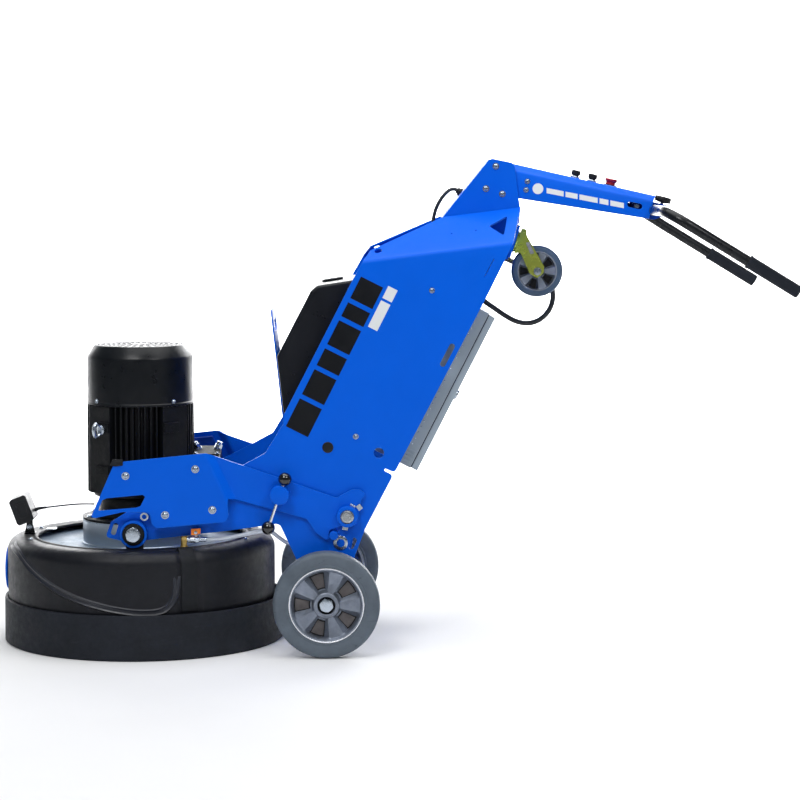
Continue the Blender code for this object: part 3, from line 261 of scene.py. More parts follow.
MAT = {
    # The blue's paler, brighter edges are a painted highlight along its edges and folds.
    "blue": finish("blue_powder_coat", (0.0, 0.105, 0.680), 0.38, vary=0.05, blotch=2.5,
                   rough_vary=0.05, grain=420.0, grain_depth=0.00022, edge_wear_and_highlight=0.0016,
                   worn_and_highlight_colour=(0.06, 0.32, 0.95), specular=0.12),
    # Darker copy of the blue powder coat for the ballast, the bar clamp and the beam's end flanges
    # and tabs: painted shade.
    "deep_blue": finish("blue_powder_coat_painted_shade", (0.002, 0.040, 0.330), 0.42, vary=0.08,
                        blotch=3.0, grain=420.0, grain_depth=0.00022, specular=0.2),
    "gloss_black": finish("gloss_black_enamel", (0.006, 0.007, 0.009), 0.30, vary=0.2,
                          grain=300.0, grain_depth=0.00005, coat=0.12, edge_wear_and_highlight=0.0010,
                          worn_and_highlight_colour=(0.05, 0.06, 0.08), specular=0.25),
    "casting": finish("black_painted_casting", (0.0030, 0.0036, 0.0048), 0.46, vary=0.25,
                      blotch=12.0, grain=260.0, grain_depth=0.0005, edge_wear_and_highlight=0.0012,
                      worn_and_highlight_colour=(0.030, 0.036, 0.048), specular=0.22),
    "fan_black": finish("black_pressed_steel", (0.0040, 0.0050, 0.0068), 0.34, vary=0.2,
                        grain=350.0, grain_depth=0.00010, edge_wear_and_highlight=0.0012,
                        worn_and_highlight_colour=(0.05, 0.06, 0.075), specular=0.28),
    "cover": finish("moulded_black_cover", (0.0062, 0.0070, 0.0105), 0.46, vary=0.22, blotch=7.0,
                    grain=900.0, grain_depth=0.00025, scuff=(0.10, (0.030, 0.034, 0.044), 9.0),
                    specular=0.28),
    # Lighter black than the cover so the bead reads lit: a painted highlight.
    "rib": finish("cover_bead_painted_highlight", (0.0170, 0.0195, 0.0280), 0.36, vary=0.2, blotch=7.0,
                  grain=900.0, grain_depth=0.00025, specular=0.45),
    "skirt": finish("black_rubber_skirt", (0.0110, 0.0135, 0.0200), 0.62, vary=0.25, blotch=9.0,
                    grain=500.0, grain_depth=0.0004, scuff=(0.22, (0.040, 0.048, 0.062), 7.0),
                    specular=0.25),
    "plastic": finish("black_satin_plastic", (0.0060, 0.0068, 0.0090), 0.40, vary=0.2,
                      grain=900.0, grain_depth=0.00015, edge_wear_and_highlight=0.0010, worn_and_highlight_colour=(0.04, 0.05, 0.06),
                      specular=0.35),
    "tank": finish("black_tank_plastic", (0.0055, 0.0065, 0.0100), 0.34, vary=0.2, blotch=6.0,
                   grain=700.0, grain_depth=0.0002, specular=0.28),
    "grip": finish("matt_foam_grip", (0.0130, 0.0160, 0.0235), 0.72, vary=0.2, grain=1500.0,
                   grain_depth=0.0005, specular=0.2),
    "rubber": finish("black_rubber", (0.0085, 0.0100, 0.0130), 0.60, vary=0.2, grain=700.0,
                     grain_depth=0.0003, specular=0.25),
    "cable": finish("cable_sheath", (0.013, 0.016, 0.021), 0.42, vary=0.15, grain=900.0,
                    grain_depth=0.0001, stretch=(1, 1, 0.2)),
    "ball": finish("phenolic_ball", (0.004, 0.004, 0.005), 0.10, vary=0.2, rough_vary=0.03,
                   grain=200.0, grain_depth=0.00002, coat=0.6),
    "tyre": finish("grey_elastic_tyre", (0.105, 0.130, 0.160), 0.55, vary=0.14, blotch=14.0,
                   grain=500.0, grain_depth=0.0003, scuff=(0.65, (0.035, 0.042, 0.052), 15.0),
                   specular=0.3),
    "caster_tyre": finish("blue_grey_caster_tyre", (0.060, 0.100, 0.165), 0.50, vary=0.12,
                          blotch=14.0, grain=500.0, grain_depth=0.0003,
                          scuff=(0.35, (0.030, 0.045, 0.070), 20.0), specular=0.3),
    "cast": finish("cast_aluminium", (0.24, 0.27, 0.33), 0.44, 0.85, vary=0.24, blotch=16.0,
                   rough_vary=0.12, grain=350.0, grain_depth=0.0006, edge_wear_and_highlight=0.0012,
                   worn_and_highlight_colour=(0.75, 0.76, 0.78)),
    # Darker copy of the cast aluminium for the rim's pocket floors: painted shade.
    "cast_dark": finish("cast_aluminium_painted_shade", (0.115, 0.105, 0.105), 0.55, 0.6, vary=0.3,
                        blotch=16.0, rough_vary=0.12, grain=350.0, grain_depth=0.0006),
    "machined": finish("machined_aluminium", (0.80, 0.82, 0.86), 0.24, 1.0, vary=0.05,
                       grain=300.0, grain_depth=0.00008, stretch=(1, 1, 8)),
    "hub": finish("turned_hub_casting", (0.46, 0.53, 0.62), 0.34, 0.85, vary=0.05, blotch=4.0,
                  grain=260.0, grain_depth=0.00004, stretch=(0.6, 0.6, 6.0)),
    "deck": finish("galvanised_deck", (0.24, 0.31, 0.39), 0.52, 0.25, vary=0.25, blotch=26.0,
                   rough_vary=0.14, grain=240.0, grain_depth=0.0003,
                   scuff=(0.6, (0.10, 0.13, 0.15), 22.0)),
    "zinc": finish("zinc_plated_steel", (0.50, 0.56, 0.63), 0.24, 1.0, vary=0.10, blotch=60.0,
                   rough_vary=0.06, grain=900.0, grain_depth=0.00006),
    "steel": finish("plain_steel", (0.42, 0.44, 0.46), 0.32, 1.0, vary=0.12, blotch=30.0,
                    grain=500.0, grain_depth=0.0001, stretch=(6, 6, 1)),
    "dark_steel": finish("dark_steel", (0.10, 0.105, 0.11), 0.46, 0.9, vary=0.2, blotch=14.0,
                         grain=300.0, grain_depth=0.0004),
    "cabinet": finish("grey_cabinet_paint", (0.30, 0.36, 0.42), 0.40, vary=0.06, blotch=5.0,
                      grain=450.0, grain_depth=0.0002, edge_wear_and_highlight=0.0012, worn_and_highlight_colour=(0.55, 0.60, 0.66)),
    "brass": finish("brass", (0.58, 0.40, 0.13), 0.34, 1.0, vary=0.14, blotch=50.0,
                    grain=400.0, grain_depth=0.0002),
    "red": finish("red_button_plastic", (0.36, 0.004, 0.014), 0.30, vary=0.12, grain=500.0,
                  grain_depth=0.00008, coat=0.2, edge_wear_and_highlight=0.0008, worn_and_highlight_colour=(0.6, 0.10, 0.10)),
    "orange": finish("orange_lever_plastic", (0.82, 0.20, 0.010), 0.38, vary=0.10, grain=600.0,
                     grain_depth=0.0002),
    "white": finish("white_marking_film", (0.72, 0.74, 0.76), 0.40, vary=0.03, grain=300.0,
                    grain_depth=0.00004),
    "marking": finish("black_marking_film", (0.0030, 0.0038, 0.0060), 0.40, vary=0.10, grain=300.0,
                      grain_depth=0.00004, specular=0.25),
    "segment": finish("diamond_segment", (0.20, 0.15, 0.08), 0.70, 0.6, vary=0.3, blotch=80.0,
                      grain=900.0, grain_depth=0.0008),
    "label": finish("foil_plate", (0.55, 0.56, 0.58), 0.30, 0.9, vary=0.15, blotch=90.0,
                    grain=700.0, grain_depth=0.0002),
}


def yellow_zinc():
    """Yellow chromate: gold, green and rose bands that drift over the plating."""
    g = Graph("yellow_chromate_zinc")
    drift = g.noise(4.0, 0.0, 0.0, None, 0.0)
    ramp = g.add("ShaderNodeValToRGB", Fac=g.span(drift, 0.30, 0.70))
    stops = ((0.0, (0.46, 0.50, 0.07)), (0.35, (0.58, 0.72, 0.10)), (0.55, (0.34, 0.52, 0.16)),
             (0.75, (0.56, 0.50, 0.12)), (1.0, (0.52, 0.66, 0.14)))
    band = ramp.color_ramp
    for place, colour in stops[1:-1]:
        band.elements.new(place).color = (*colour, 1.0)
    band.elements[0].color = (*stops[0][1], 1.0)
    band.elements[-1].color = (*stops[-1][1], 1.0)
    g.put(g.shader.inputs["Base Color"], ramp.outputs["Color"])
    g.put(g.shader.inputs["Roughness"], g.span(g.noise(40.0), 0.3, 0.7, 0.22, 0.30))
    g.put(g.shader.inputs["Normal"], g.bump(g.noise(500.0), 0.00002))
    g.shader.inputs["Metallic"].default_value = 0.65
    g.shader.inputs["Coat Weight"].default_value = 0.6
    g.shader.inputs["Coat Roughness"].default_value = COAT_ROUGHNESS
    return g.mat


def clear_plastic(name, colour, rough, share):
    """Clear hose or lens: partly transmitting, with faint ripples."""
    g = Graph(name)
    g.put(g.shader.inputs["Base Color"],
          g.mix(g.span(g.noise(25.0), 0.3, 0.7), tone(colour, 0.85), colour))
    g.put(g.shader.inputs["Roughness"],
          g.span(g.noise(60.0), 0.3, 0.7, rough, rough + 0.10))
    g.put(g.shader.inputs["Normal"], g.bump(g.noise(220.0), 0.0001))
    g.shader.inputs["Transmission Weight"].default_value = share
    g.shader.inputs["IOR"].default_value = 1.45
    return g.mat


MAT["yellow"] = yellow_zinc()
MAT["hose"] = clear_plastic("clear_water_hose", (0.66, 0.72, 0.80), 0.10, 0.45)
MAT["lens"] = clear_plastic("lamp_lens", (0.80, 0.84, 0.88), 0.06, 0.55)

# Slot for each material, which piece() looks up where the call names no other but does not use.
SLOTS = {mat: slot for slot, mats in {
    "blue_paint": "blue deep_blue",
    "zinc_steel": "zinc steel label",
    "black_plastic": "plastic tank cover rib",
    "black_paint": "marking fan_black gloss_black",
    "brass": "brass",
    "black_rubber": "rubber skirt grip",
    "grey_rubber": "tyre",
    "caster_rubber": "caster_tyre",
    "cast_aluminium": "cast cast_dark hub machined",
    "motor_casting": "casting",
    "yellow_zinc": "yellow",
    "steel_and_plastic": "ball",
    "dark_steel": "deck dark_steel",
    "clear_hose": "lens hose",
    "cable_rubber": "cable",
    "orange_plastic": "orange",
    "cabinet_grey": "cabinet",
    "red_plastic": "red",
    "diamond_tool": "segment",
}.items() for mat in mats.split()}

# ----------------------------------------------------------------------------- tools


def circle(x, z, radius, points=32, start=0.0):
    step = 2 * math.pi / points
    return [(x + radius * math.cos(start + k * step),
             z + radius * math.sin(start + k * step)) for k in range(points)]


def arc(x, z, radius, first, last, points):
    out = []
    for k in range(points):
        angle = math.radians(first + (last - first) * k / (points - 1))
        out.append((x + radius * math.cos(angle), z + radius * math.sin(angle)))
    return out


def sector(x, z, inner, outer, first, last, points):
    """Outline of the part of a flat ring between two angles."""
    return arc(x, z, inner, first, last, points) + arc(x, z, outer, last, first, points)


def capsule(start, end, radius, points=12):
    heading = math.degrees(math.atan2(end[1] - start[1], end[0] - start[0]))
    return (arc(*end, radius, heading - 90, heading + 90, points)
            + arc(*start, radius, heading + 90, heading + 270, points))


def rounded(outline, radius, keep=(), steps=5):
    """Outline with each corner that isn't kept turned into an arc."""
    out = []
    count = len(outline)
    for k, point in enumerate(outline):
        here = Vector(point)
        before, after = Vector(outline[k - 1]), Vector(outline[(k + 1) % count])
        if k in keep:
            out.append(tuple(here))
            continue
        first, second = (before - here), (after - here)
        turn = math.pi - first.angle(second)
        reach = min(radius * math.tan(turn / 2), 0.45 * first.length, 0.45 * second.length)
        if turn < math.radians(8) or reach < 1e-4:
            out.append(tuple(here))
            continue
        start, end = here + first.normalized() * reach, here + second.normalized() * reach
        for j in range(steps + 1):
            t = j / steps
            out.append(tuple(start * (1 - t) ** 2 + here * 2 * t * (1 - t) + end * t * t))
    return out


def fill(bm, outline, holes=()):
    edges = []
    for loop in [outline, *holes]:
        verts = [bm.verts.new(point) for point in loop]
        for k, vert in enumerate(verts):
            edges.append(bm.edges.new((vert, verts[(k + 1) % len(verts)])))
    made = bmesh.ops.triangle_fill(bm, use_beauty=True, edges=edges)
    return [item for item in made["geom"] if isinstance(item, bmesh.types.BMFace)]


def merge(*parts):
    """All parts in one bmesh."""
    whole = parts[0]
    for part in parts[1:]:
        mesh = bpy.data.meshes.new("part")
        part.to_mesh(mesh)
        part.free()
        whole.from_mesh(mesh)
        bpy.data.meshes.remove(mesh)
    return whole


def upright(outline, y):
    """Outline of X and Z as 3-D points at one Y."""
    return [(x, y, z) for x, z in outline]


def extrude(outline, holes, place, travel):
    bm = bmesh.new()
    faces = fill(bm, [place(p) for p in outline], [[place(p) for p in h] for h in holes])
    swept = bmesh.ops.extrude_face_region(bm, geom=faces)
    verts = [item for item in swept["geom"] if isinstance(item, bmesh.types.BMVert)]
    bmesh.ops.translate(bm, verts=verts, vec=travel)
    bmesh.ops.recalc_face_normals(bm, faces=bm.faces)
    bmesh.ops.dissolve_limit(bm, angle_limit=math.radians(1), verts=bm.verts, edges=bm.edges)
    return bm


def plate(outline, y_low, y_high, holes=()):
    return extrude(outline, holes, lambda p: (p[0], y_low, p[1]), (0, y_high - y_low, 0))


def slab(outline, z_low, z_high, holes=()):
    return extrude(outline, holes, lambda p: (p[0], p[1], z_low), (0, 0, z_high - z_low))


def block(x_low, x_high, y_low, y_high, z_low, z_high):
    return plate([(x_low, z_low), (x_high, z_low), (x_high, z_high), (x_low, z_high)],
                 y_low, y_high)


def outward(degrees):
    """Level unit vector at an angle from +X."""
    turn = math.radians(degrees)
    return Vector((math.cos(turn), math.sin(turn), 0))


def round_head(radius, z, *angles):
    """Spots at one distance from the head's axis."""
    return [Vector((HEAD_X, 0, z)) + outward(angle) * radius for angle in angles]


def turned_on_head(bm, degrees):
    """Shape made at the origin, turned and moved to the head's axis."""
    turn = Matrix.Rotation(math.radians(degrees), 4, "Z")
    bmesh.ops.transform(bm, verts=bm.verts, matrix=Matrix.Translation((HEAD_X, 0, 0)) @ turn)
    return bm


def at(value, angle):
    return value(angle) if callable(value) else value


def turned(profile, origin, axis, segments=64, side=None):
    """Solid of revolution; a profile that starts off the axis closes on itself.

    A radius or a height may be a function of the angle.
    """
    bm = bmesh.new()
    axis = Vector(axis).normalized()
    side = Vector(side).normalized() if side else axis.orthogonal().normalized()
    up = axis.cross(side)
    rings = []
    for radius, height in profile:
        if not callable(radius) and radius < 1e-6:
            rings.append([bm.verts.new(Vector(origin) + axis * height)])
            continue
        ring = []
        for k in range(segments):
            angle = 2 * math.pi * k / segments
            spoke = side * math.cos(angle) + up * math.sin(angle)
            ring.append(bm.verts.new(Vector(origin) + axis * at(height, angle)
                                     + spoke * at(radius, angle)))
        rings.append(ring)
    pairs = list(zip(rings, rings[1:]))
    if len(rings[0]) > 1:
        pairs.append((rings[-1], rings[0]))
    for low, high in pairs:
        if len(low) == 1 and len(high) == 1:
            continue
        for k in range(segments):
            corners = [low[k % len(low)], low[(k + 1) % segments % len(low)],
                       high[(k + 1) % segments % len(high)], high[k % len(high)]]
            bm.faces.new(list(dict.fromkeys(corners)))
    bmesh.ops.recalc_face_normals(bm, faces=bm.faces)
    return bm


def mirrored(profile):
    """Half profile followed by its reflection in the plane of height zero."""
    return profile + [(radius, -height) for radius, height in reversed(profile)]


def hexagon(corner, most=1.0):
    """Radius of a hexagon as a function of the angle, trimmed to a share of its corners."""
    def radius(angle):
        flat = corner * math.cos(math.pi / 6)
        return min(flat / math.cos(angle % (math.pi / 3) - math.pi / 6), corner * most)
    return radius


def stand(bm, spot, normal):
    """Shape whose Z axis is turned to a normal and moved to a spot."""
    turn = normal.to_track_quat("Z", "Y").to_matrix().to_4x4()
    bmesh.ops.transform(bm, verts=bm.verts, matrix=Matrix.Translation(spot) @ turn)
    return bm


def rod(start, end, radius, segments=32, edge=0.0):
    start, end = Vector(start), Vector(end)
    length = (end - start).length
    profile = [(0, 0), (radius - edge, 0), (radius, edge), (radius, length - edge),
               (radius - edge, length), (0, length)]
    return turned(list(dict.fromkeys(profile)), start, end - start, segments)


def screw(spot, axis, radius=0.0085):
    """Button-head screw with a hexagon socket on a plain washer."""
    profile = [(0, 0), (radius * 1.35, 0), (radius * 1.35, 0.0012), (radius, 0.0013),
               (radius * 0.98, 0.0026), (radius * 0.80, 0.0048), (radius * 0.58, 0.0058),
               (hexagon(radius * 0.46), 0.0058), (hexagon(radius * 0.44), 0.0024), (0, 0.0022)]
    return turned(profile, spot, axis, 24)


def screw_row(spots, y, side, radius):
    """Screws in a face that looks to one side, one at each X and Z."""
    return merge(*[screw(spot, (0, side, 0), radius) for spot in upright(spots, y)])


def hex_bolt(spot, axis, corner=0.0115, height=0.008, washer=0.0):
    """Hexagon head with a chamfered top, on a washer where one is given."""
    base = []
    if washer:
        base = [(washer, 0), (washer, 0.0022), (corner * 0.98, 0.0024)]
    foot = 0.0024 if washer else 0.0
    profile = [(0, 0), *base, (hexagon(corner), foot), (hexagon(corner), height * 0.86),
               (hexagon(corner, 0.90), height * 0.97), (corner * 0.80, height),
               (corner * 0.30, height * 1.01), (0, height * 1.01)]
    return turned(profile, spot, axis, 36)


def scratch(bm):
    mesh = bpy.data.meshes.new("scratch")
    bm.to_mesh(mesh)
    bm.free()
    obj = bpy.data.objects.new("scratch", mesh)
    bpy.context.scene.collection.objects.link(obj)
    return obj


def evaluated(obj):
    bpy.context.view_layer.update()
    shape = obj.evaluated_get(bpy.context.evaluated_depsgraph_get())
    bm = bmesh.new()
    bm.from_mesh(shape.to_mesh())
    shape.to_mesh_clear()
    bpy.data.objects.remove(obj, do_unlink=True)
    return bm


def cut(base, *others):
    obj = scratch(base)
    tools = [scratch(other) for other in others]
    for tool in tools:
        modifier = obj.modifiers.new("cut", "BOOLEAN")
        modifier.operation = "DIFFERENCE"
        modifier.object = tool
    result = evaluated(obj)
    for tool in tools:
        bpy.data.objects.remove(tool, do_unlink=True)
    return result


def folded(faces, thickness, fold=0.0):
    """Sheet metal from flat faces that share edges, with rounded folds."""
    bm = bmesh.new()
    for outline, holes in faces:
        fill(bm, outline, holes)
    bmesh.ops.remove_doubles(bm, verts=bm.verts, dist=1e-5)
    bmesh.ops.recalc_face_normals(bm, faces=bm.faces)
    bmesh.ops.dissolve_limit(bm, angle_limit=math.radians(1), verts=bm.verts, edges=bm.edges)
    if fold:
        bends = [e for e in bm.edges if len(e.link_faces) == 2
                 and e.calc_face_angle() > math.radians(7)]
        bmesh.ops.bevel(bm, geom=bends, offset=fold, segments=4, profile=0.5,
                        affect="EDGES", clamp_overlap=True)
    obj = scratch(bm)
    modifier = obj.modifiers.new("thickness", "SOLIDIFY")
    modifier.thickness = thickness
    modifier.offset = 0.0
    modifier.use_even_offset = True
    modifier.use_quality_normals = True
    return evaluated(obj)


def strip(line, y_half, thickness, fold=0.004):
    faces = []
    for start, end in zip(line, line[1:]):
        faces.append((upright((start, end), -y_half) + upright((end, start), y_half), []))
    return folded(faces, thickness, fold)


def on_side(bm, side):
    if side < 0:
        bmesh.ops.scale(bm, vec=(1, -1, 1), verts=bm.verts)
        bmesh.ops.reverse_faces(bm, faces=bm.faces)
    return bm


def skin(bm, rows, ring=False):
    """Quads between rows of points that each go once round; the ends close, or join up."""
    for low, high in zip(rows, rows[1:] + rows[:1] if ring else rows[1:]):
        for j in range(len(low)):
            i = (j + 1) % len(low)
            bm.faces.new((low[j], low[i], high[i], high[j]))
    if not ring:
        bm.faces.new(rows[0][::-1])
        bm.faces.new(rows[-1])
    bmesh.ops.recalc_face_normals(bm, faces=bm.faces)
    return bm


def tube(points, radius, sides=20):
    """Round tube along 3-D points; the radius may be a list."""
    bm = bmesh.new()
    points = [Vector(p) for p in points]
    rings = []
    spoke = None
    for k, point in enumerate(points):
        ahead = (points[min(k + 1, len(points) - 1)] - points[max(k - 1, 0)]).normalized()
        if spoke is None:
            spoke = ahead.orthogonal()
        spoke = (spoke - ahead * spoke.dot(ahead)).normalized()
        across = ahead.cross(spoke)
        size = radius[k] if isinstance(radius, list) else radius
        rings.append([bm.verts.new(point + (spoke * math.cos(2 * math.pi * j / sides)
                                            + across * math.sin(2 * math.pi * j / sides)) * size)
                      for j in range(sides)])
    return skin(bm, rings)


def smooth_route(points, spacing):
    points = [Vector(p) for p in points]
    ends = [2 * points[0] - points[1], *points, 2 * points[-1] - points[-2]]
    fine = []
    for p0, p1, p2, p3 in zip(ends, ends[1:], ends[2:], ends[3:]):
        for k in range(24):
            t = k / 24
            fine.append(0.5 * ((2 * p1) + (p2 - p0) * t + (2 * p0 - 5 * p1 + 4 * p2 - p3) * t * t
                               + (3 * p1 - p0 - 3 * p2 + p3) * t ** 3))
    fine.append(points[-1])
    lengths = [0.0]
    for start, end in zip(fine, fine[1:]):
        lengths.append(lengths[-1] + (end - start).length)
    count = max(2, round(lengths[-1] / spacing))
    out = []
    k = 0
    for step in range(count + 1):
        goal = lengths[-1] * step / count
        while k < len(lengths) - 2 and lengths[k + 1] < goal:
            k += 1
        share = (goal - lengths[k]) / (lengths[k + 1] - lengths[k])
        out.append(fine[k].lerp(fine[k + 1], min(1.0, share)))
    return out


def piece(name, bm, mat, body, replaces=(), bevel=0.0, steps=2, sharp=32, slot=None):
    """Named piece that rides on a body and, where it replaces CAD nodes, hides them."""
    bmesh.ops.translate(bm, verts=bm.verts, vec=(FRAME_X, 0, 0))
    mesh = bpy.data.meshes.new(name)
    bm.to_mesh(mesh)
    bm.free()
    mesh.shade_smooth()
    mesh.set_sharp_from_angle(angle=math.radians(sharp))
    mesh.materials.append(MAT[mat])
    obj = bpy.data.objects.new(name, mesh)
    bpy.context.scene.collection.objects.link(obj)
    if bevel:
        modifier = obj.modifiers.new("edges", "BEVEL")
        modifier.width = bevel
        modifier.segments = steps
        modifier.limit_method = "ANGLE"
        modifier.angle_limit = math.radians(max(sharp, 30))
        modifier.harden_normals = True
    if body:
        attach(obj, body)
    if replaces:
        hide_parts(*replaces)
    slot = slot or SLOTS.get(mat)
    return obj


def refined(node, name, mat, body, bevel=0.001, steps=2, slot=None):
    """The CAD node's own shape with clean faces and rounded edges."""
    bm = bmesh.new()
    bm.from_mesh(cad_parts[node].data)
    bmesh.ops.remove_doubles(bm, verts=bm.verts, dist=2e-5)
    bmesh.ops.dissolve_limit(bm, angle_limit=math.radians(1), verts=bm.verts, edges=bm.edges)
    bmesh.ops.translate(bm, verts=bm.verts, vec=(-FRAME_X, 0, 0))
    return piece(name, bm, mat, body, [node], bevel, steps, slot=slot)


# ------------------------------------------------------------------ cables and the hose
# Routes repeat the frame's own cables point by point.
CONTROL_CABLE = [(0.4113, 0, 1.3836), (0.4030, 0, 1.3903), (0.3912, 0, 1.3945),
                 (0.3765, 0, 1.3900), (0.3598, 0, 1.3740), (0.3445, 0, 1.3507),
                 (0.3340, 0, 1.3260), (0.3282, 0, 1.2980), (0.3275, 0, 1.2650),
                 (0.330, 0, 1.225), (0.333, 0, 1.185), (0.334, 0, 1.1482)]
POWER_CABLE = [(0.452, 0.155, 1.1295), (0.453, 0.155, 1.105), (0.464, 0.155, 1.071),
               (0.492, 0.155, 1.042), (0.530, 0.155, 1.015), (0.562, 0.155, 0.993),
               (0.597, 0.155, 0.975), (0.635, 0.155, 0.969), (0.672, 0.155, 0.981),
               (0.701, 0.155, 1.011), (0.713, 0.155, 1.052), (0.704, 0.155, 1.094),
               (0.673, 0.155, 1.126), (0.620, 0.155, 1.150), (0.5645, 0.155, 1.1727),
               (0.5348, 0.155, 1.1879)]
LAMP_CABLE = [(-0.9182, 0.020, 0.3928), (-0.907, 0.020, 0.397), (-0.880, 0.018, 0.401),
              (-0.835, 0.012, 0.407), (-0.790, 0.006, 0.412), (-0.755, 0.002, 0.4135),
              (-0.7300, 0.0, 0.4135)]
WATER_HOSE = [(-0.3575, -0.315, 0.348), (-0.335, -0.315, 0.3485), (-0.300, -0.315, 0.352),
              (-0.250, -0.315, 0.362), (-0.205, -0.313, 0.371), (-0.168, -0.302, 0.369),
              (-0.142, -0.280, 0.347), (-0.116, -0.262, 0.328), (-0.085, -0.250, 0.328),
              (-0.058, -0.240, 0.350), (-0.044, -0.226, 0.400), (-0.040, -0.205, 0.480),
              (-0.040, -0.188, 0.570), (-0.040, -0.181, 0.650), (-0.040, -0.180, 0.7115)]


def placed(point):
    return Vector(point) + Vector((FRAME_X, 0, 0))


def cord(name, node, points, diameter, mat, body=None, blend=None):
    """Cable or hose that is held at both ends; it rides on a body, or where blend is given it rides
    on none.
    """
    route = smooth_route(points, diameter * 0.8)
    obj = piece(name, tube(route, diameter / 2, 16), mat, body, [node])
    if blend:
        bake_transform(obj)


cord("control_lead", "control_cable", CONTROL_CABLE, 0.012, "cable", "chassis")
cord("supply_lead", "power_cable", POWER_CABLE, 0.017, "cable", "chassis")
cord("lamp_lead", "lamp_cable", LAMP_CABLE, 0.005, "cable", None,
     ("lamp", "head", placed((-0.915, 0.020, 0.395)), placed((-0.800, 0.008, 0.410))))
cord("water_line", "water_hose", WATER_HOSE, 0.012, "hose", None,
     ("head", "chassis", placed((-0.335, -0.315, 0.350)), placed((-0.180, -0.306, 0.350))))

# ------------------------------------------------------------------------ side plates


def roof_point(x, y):
    x_start, z_start = ROOF_START
    return (x, y, z_start + ROOF_RISE_X * (x - x_start) + ROOF_RISE_Y * (PLATE_Y - y))


def plate_outline():
    yoke = arc(*TILT, 0.041, 215, 330, 12)
    leg = arc(0.0, AXLE_Z, 0.055, 180, 360, 20)
    head = [(0.110, 1.179), (0.080, 1.127), (-0.128, 0.721), (-0.130, 0.694), (-0.183, 0.607),
            (-0.253, 0.569), (-0.450, 0.470), (-0.552, 0.427), (-0.600, 0.429),
            (-0.648, 0.399), (-0.665, 0.353)]
    middle_part = [(-0.309, 0.370), (-0.204, 0.384), (-0.152, 0.392), (-0.140, 0.388),
                   (-0.093, 0.288)]
    rear = [(0.086, 0.298), (0.116, 0.377), (0.200, 0.5385), (0.1726, 0.5525), (0.1757, 0.5595),
            (0.2045, 0.5465), (0.490, 1.095), (0.559, 1.235)]
    outline = head + yoke + middle_part + leg + rear
    return rounded(outline, 0.012, keep=(0, len(outline) - 1))


def side_plate(name, side):
    holes = [circle(*TILT, 0.034, 48), circle(0.0, AXLE_Z, 0.0132, 32),
             circle(0.004, 0.623, 0.0145, 32), circle(0.157, 0.606, 0.0157, 32),
             circle(*CLAMP, 0.0100, 24), capsule((0.3765, 0.9263), (0.3489, 0.8737), 0.0085),
             capsule((0.082, 0.341), (0.074, 0.323), 0.0085),
             capsule((-0.634, 0.388), (-0.641, 0.366), 0.0075),
             capsule((0.5005, 1.187), (0.4735, 1.136), 0.0009, 3)]
    outline = plate_outline()
    flat = upright(outline, PLATE_Y)
    flat_holes = [upright(hole, PLATE_Y) for hole in holes]
    roof = [flat[0], roof_point(0.133, 0.2396), roof_point(0.354, ROOF_END_Y),
            roof_point(0.592, ROOF_END_Y), flat[-1]]
    corners = [(0.491, 0.188), (0.550, 0.1434), (0.533, 0.2498)]
    window = [roof_point(*p) for p in rounded(corners, 0.005)]
    drilled = [[roof_point(*p) for p in circle(x, y, 0.0026, 12)]
               for x, y in ((0.378, 0.204), (0.451, 0.203))]
    port = [roof_point(*p) for p in circle(0.156, 0.2470, 0.0115, 24)]
    bm = folded([(flat, flat_holes), (roof, [window, port, *drilled])], PLATE_T, 0.007)
    piece(f"chassis_plate_{name}", on_side(bm, side), "blue", "chassis", [f"side_plate_{name}"],
          0.0009)
    ring = turned([(0.0334, 0), (0.0405, 0), (0.041, 0.0008), (0.041, 0.0325), (0.0396, 0.034),
                   (0.0350, 0.034), (0.0334, 0.0325)], (TILT[0], PLATE_IN - 0.0002, TILT[1]),
                  (0, 1, 0), 72)
    pin = rod((STOP_PIN[0], PLATE_OUT - 0.001, STOP_PIN[1]), (STOP_PIN[0], 0.322, STOP_PIN[1]),
              0.013, 40, 0.001)
    piece(f"yoke_ring_{name}", on_side(ring, side), "blue", "chassis")
    piece(f"stop_pin_{name}", on_side(pin, side), "blue", "chassis")


def plate_fittings(name, side):
    y = side * PLATE_OUT
    out = (0, side, 0)
    screws = screw_row(((0.316, 1.094), (0.088, 0.656)), y, side, 0.0064)
    piece(f"plate_screws_{name}", screws, "zinc", "chassis")
    plug = turned([(0, -0.002), (0.0140, -0.002), (0.0140, 0), (0.0168, 0.0002), (0.0166, 0.0012),
                   (0.0150, 0.0020), (0.0100, 0.0022), (0, 0.0020)], (0.004, y, 0.623), out, 40)
    piece(f"hole_plug_{name}", plug, "plastic", "chassis")
    spot = (LOCK_BOLT[0], y, LOCK_BOLT[1])
    washer = turned([(0.0125, 0.0002), (0.0215, 0.0002), (0.0215, 0.0026), (0.0205, 0.0032),
                     (0.0125, 0.0032)], spot, out, 40)
    piece(f"lock_washer_{name}", washer, "zinc", "chassis")
    bolt = hex_bolt(spot, out, 0.0125, 0.0105)
    piece(f"lock_bolt_{name}", bolt, "blue", "chassis", bevel=0.0004)


